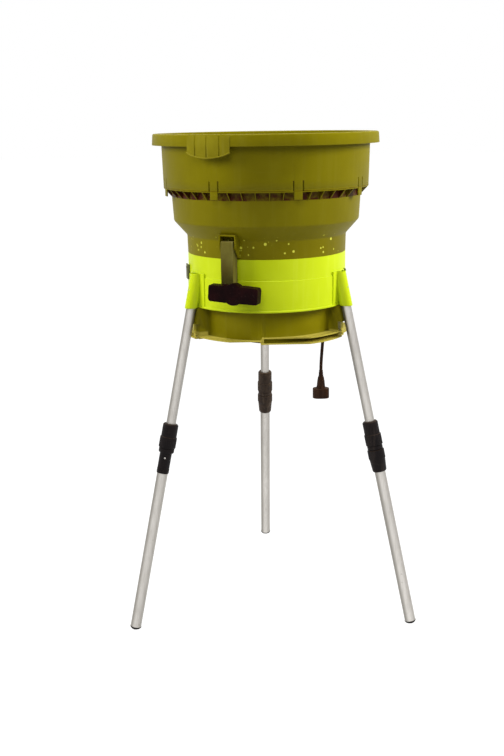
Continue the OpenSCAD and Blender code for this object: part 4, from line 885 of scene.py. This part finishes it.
def makeBaseRing(look):
    outer = look["r"]
    inner = outer - look["wall"]
    ledge = standZ + look["ledgeRecess"]
    bandTop = standZ + look["bandH"]
    bm = bmesh.new()
    lathe(bm, [
        (inner, standZ, 0.5), (outer + look["beadProud"], standZ, 1.2),
        (outer + look["beadProud"], standZ + look["beadH"], 1.2),
        (outer + look["bandProud"], standZ + look["beadH"] + 1), (outer + look["bandProud"], bandTop, 0.7),
        (outer, bandTop + 0.7), (outer, seatZ, 0.6), (inner, seatZ, 0.6), (inner, ledge + look["ledgeT"]),
        (look["ledgeIn"], ledge + look["ledgeT"], 0.4), (look["ledgeIn"], ledge, 0.4), (inner, ledge)],
        look["steps"])
    for leg, azimuth in legLook["azimuths"].items():
        half = look["stripHalf"]
        strip = lathe(bm, [
            (inner + 1, standZ, 0.3), (outer + look["stripProud"], standZ, 0.3),
            (outer + look["stripProud"], standZ + look["socketH"] + 1, 0.8),
            (inner + 1, standZ + look["socketH"] + 1)], 18, azimuth - half, 2 * half)
        soften(bm, strip, 0.7, 2, 60)
        socket = makeSocket(leg, look)
        bm.from_mesh(socket)
        bpy.data.meshes.remove(socket)
    return finishPiece("ring_shell", bm, "root", "lime_plastic", ["base_ring"])


makeBaseRing(ringLook)
print("base ring made")

# Discharge skirt, with a painted highlight making it paler on its lips and webs
skirtPlastic = dict(hopperPlastic, outerR=169.6, lipHighlightBand=(668, 688), lipHighlightTone=rgb(206, 190, 84), lipHighlightShare=0.6)
skirt = copySolid("skirt_shell", "discharge_skirt", "root", "hopper_plastic", 0.7)
skirt.data.materials.clear()
skirt.data.materials.append(plasticMaterial("skirtPlastic", skirtPlastic))
print("skirt made")

# Legs
collarLook = {
    "s": 373, "length": 120, "raise": {"left": 3, "right": 0, "back": 27}, "sleeveUp": 3, "sleeveR": 13.9,
    "sleeveIn": 12.6, "midS": 52, "midH": 11, "midR": 17.8, "threadH": 0.5, "nutR": 19.5, "nutEndR": 17.8,
    "nutTipR": 15.6, "upperBore": 11.3, "nutBore": 14.7, "lowerBore": 12.8, "gap": 0.3, "nutEndT": 6,
    "upperGrip": 25, "lowerGrip": 21, "flutes": 30, "fluteDeep": 0.55, "steps": 240,
}


# Shallow grip flutes run along a nut wherever it is close to its full radius
def fluted(verts, look, fullR, depth):
    for v in verts:
        radius = v.co.xy.length / mm
        if radius > fullR - 0.6:
            wave = 0.5 + 0.5 * math.cos(look["flutes"] * math.atan2(v.co.y, v.co.x))
            v.co.xy *= 1 - depth * wave / radius


def makeUpperNut(leg, look, slot):
    low = look["midS"] + look["midH"] + look["gap"]
    step = low + look["upperGrip"]
    top = look["length"]
    bm = bmesh.new()
    verts = lathe(bm, [
        (look["nutBore"], low), (look["nutR"], low, 1.2), (look["nutR"], low + 3), (look["nutR"], step - 3),
        (look["nutR"], step, 1.1), (look["nutEndR"], step + 0.8, 0.2), (look["nutEndR"], top - 3, 1.2),
        (look["nutEndR"] - 3, top, 0.8), (look["upperBore"], top), (look["upperBore"], top - look["nutEndT"]),
        (look["nutBore"], top - look["nutEndT"] - 1)], look["steps"])
    fluted(verts, look, look["nutR"], look["fluteDeep"])
    place = legPlace(leg) @ Matrix.Translation((0, 0, (look["s"] + look["raise"][leg]) * mm))
    finishPiece(leg + "_top_collar", bm, leg + "_upper_nut", slot, [leg + "_upper_nut"], place=place)


def makeLowerNut(leg, look, slot):
    top = look["midS"] - look["gap"]
    step = top - look["lowerGrip"]
    bm = bmesh.new()
    verts = lathe(bm, [
        (look["nutBore"], top), (look["nutR"], top, 1.2), (look["nutR"], top - 3), (look["nutR"], step + 3),
        (look["nutR"], step, 1.1), (look["nutEndR"] + 0.6, step - 0.8, 0.3), (look["nutTipR"] + 0.6, 2, 0.8),
        (look["nutTipR"] - 0.8, 0, 0.5), (look["lowerBore"], 0),
        (look["lowerBore"], look["sleeveUp"] - look["gap"]), (look["nutBore"], look["sleeveUp"] - look["gap"])],
        look["steps"])
    fluted(verts, look, look["nutR"], look["fluteDeep"])
    place = legPlace(leg) @ Matrix.Translation((0, 0, (look["s"] + look["raise"][leg]) * mm))
    finishPiece(leg + "_low_collar", bm, leg + "_lower_nut", slot, [leg + "_lower_nut"], place=place)


def tubeMaterial(leg):
    back = legPlace(leg).to_3x3().inverted().to_euler()
    return metalMaterial(leg + "Tube", silverTube, tuple(back))


def makeTubes(leg, look):
    material = tubeMaterial(leg)
    place = legPlace(leg)
    collar = collarLook["s"]
    wall = look["tubeWall"]
    bm = bmesh.new()
    low, high = collar - 6, look["tubeTop"]
    lathe(bm, [
        (look["upperR"] - wall, low), (look["upperR"], low, 0.3), (look["upperR"], high, 0.4),
        (look["upperR"] - wall, high)], 72)
    finishPiece(leg + "_inner_tube", bm, "root", "silver_tube", [leg + "_upper_tube"], material, place=place)
    bm = bmesh.new()
    low, high = look["sole"], collar + 60
    lathe(bm, [
        (look["lowerR"] - wall, low), (look["lowerR"], low, 0.3), (look["lowerR"], high, 0.3),
        (look["lowerR"] - wall, high)], 72)
    finishPiece(leg + "_outer_tube", bm, leg + "_leg", "silver_tube", [leg + "_lower_tube"], material, place=place)


def makeLeg(leg):
    makeTubes(leg, legLook)
    slot = slots[leg + "_upper_nut"]
    makeUpperNut(leg, collarLook, slot)
    if leg + "_lower_nut" in nodes:
        makeLowerNut(leg, collarLook, slot)
    copySolid(leg + "_core", leg + "_sleeve", leg + "_leg", slots[leg + "_sleeve"], 0.4, 2, 25)


slots = {part["node"]: part["material_slot"] for part in frame["record"]["subparts"]}
for leg in legLook["azimuths"]:
    makeLeg(leg)
print("legs made")


# Every other node keeps its solid and takes the finish of its slot
def dressNodes():
    shown = [name for name, piece in nodes.items() if not piece.hide_render]
    for name in shown:
        piece = nodes[name]
        slot = slots[name]
        piece.data.materials.clear()
        piece.data.materials.append(materials[slot])
    print("nodes dressed:", ", ".join(sorted(shown)))


materials["silver_tube"] = metalMaterial("silverTube", silverTube)
dressNodes()

# Floor, background and lamps
stageLook = {
    "floorSize": 60, "floorTone": (0.55, 0.55, 0.55, 1), "floorWhite": 0.7, "glow": 1.38, "sky": 0.2,
    "lamps": {
        "left": {"place": (-2.7, -0.5, 2.0), "size": 1.2, "power": 62},
        "right": {"place": (2.7, -0.3, 2.1), "size": 1.2, "power": 96},
        "front": {"place": (-0.5, -2.9, 2.7), "size": 1.3, "power": 26},
        "top": {"place": (-0.2, -0.5, 3.4), "size": 1.2, "power": 38},
    },
}


# White for the camera and for mirrors, and a plain share of light for the rest
def seenShare(tree):
    rays = tree.nodes.new("ShaderNodeLightPath")
    seen = combined(tree, rays.outputs["Is Camera Ray"], rays.outputs["Is Glossy Ray"], "MAXIMUM")
    return combined(tree, seen, rays.outputs["Is Transmission Ray"], "MAXIMUM")


def makeStage(look):
    bm = bmesh.new()
    bmesh.ops.create_grid(bm, x_segments=1, y_segments=1, size=look["floorSize"] / 2)
    mesh = bpy.data.meshes.new("floor")
    bm.to_mesh(mesh)
    bm.free()
    floor = bpy.data.objects.new("floor", mesh)
    scene.collection.objects.link(floor)
    material, tree, shader, where = startMaterial("floor")
    shader.inputs["Base Color"].default_value = look["floorTone"]
    shader.inputs["Roughness"].default_value = 0.9
    glow = addNode(tree, "ShaderNodeEmission", {"Color": (1, 1, 1, 1), "Strength": look["glow"]})
    share = combined(tree, seenShare(tree), look["floorWhite"])
    both = addNode(tree, "ShaderNodeMixShader", {0: share, 1: shader.outputs[0], 2: glow.outputs[0]})
    output = next(n for n in tree.nodes if n.type == "OUTPUT_MATERIAL")
    tree.links.new(both.outputs[0], output.inputs[0])
    mesh.materials.append(material)

    world = bpy.data.worlds.new("studio")
    scene.world = world
    world.use_nodes = True
    tree = world.node_tree
    sky = next(n for n in tree.nodes if n.type == "BACKGROUND")
    sky.inputs["Color"].default_value = (1, 1, 1, 1)
    level = ramp(tree, seenShare(tree), 0.0, 1.0, 1.0 - look["sky"])
    tree.links.new(combined(tree, level, look["sky"], "ADD"), sky.inputs["Strength"])

    for name, lamp in look["lamps"].items():
        light = bpy.data.lights.new(name + "Lamp", "AREA")
        light.shape = "SQUARE"
        light.size = lamp["size"]
        light.energy = lamp["power"]
        holder = bpy.data.objects.new(name + "Lamp", light)
        holder.location = lamp["place"]
        aim = Vector((0, 0, 0.8)) - Vector(lamp["place"])
        holder.rotation_euler = aim.to_track_quat("-Z", "Y").to_euler()
        holder.visible_glossy = False
        scene.collection.objects.link(holder)


makeStage(stageLook)
print("stage made")

bpy.context.view_layer.update()
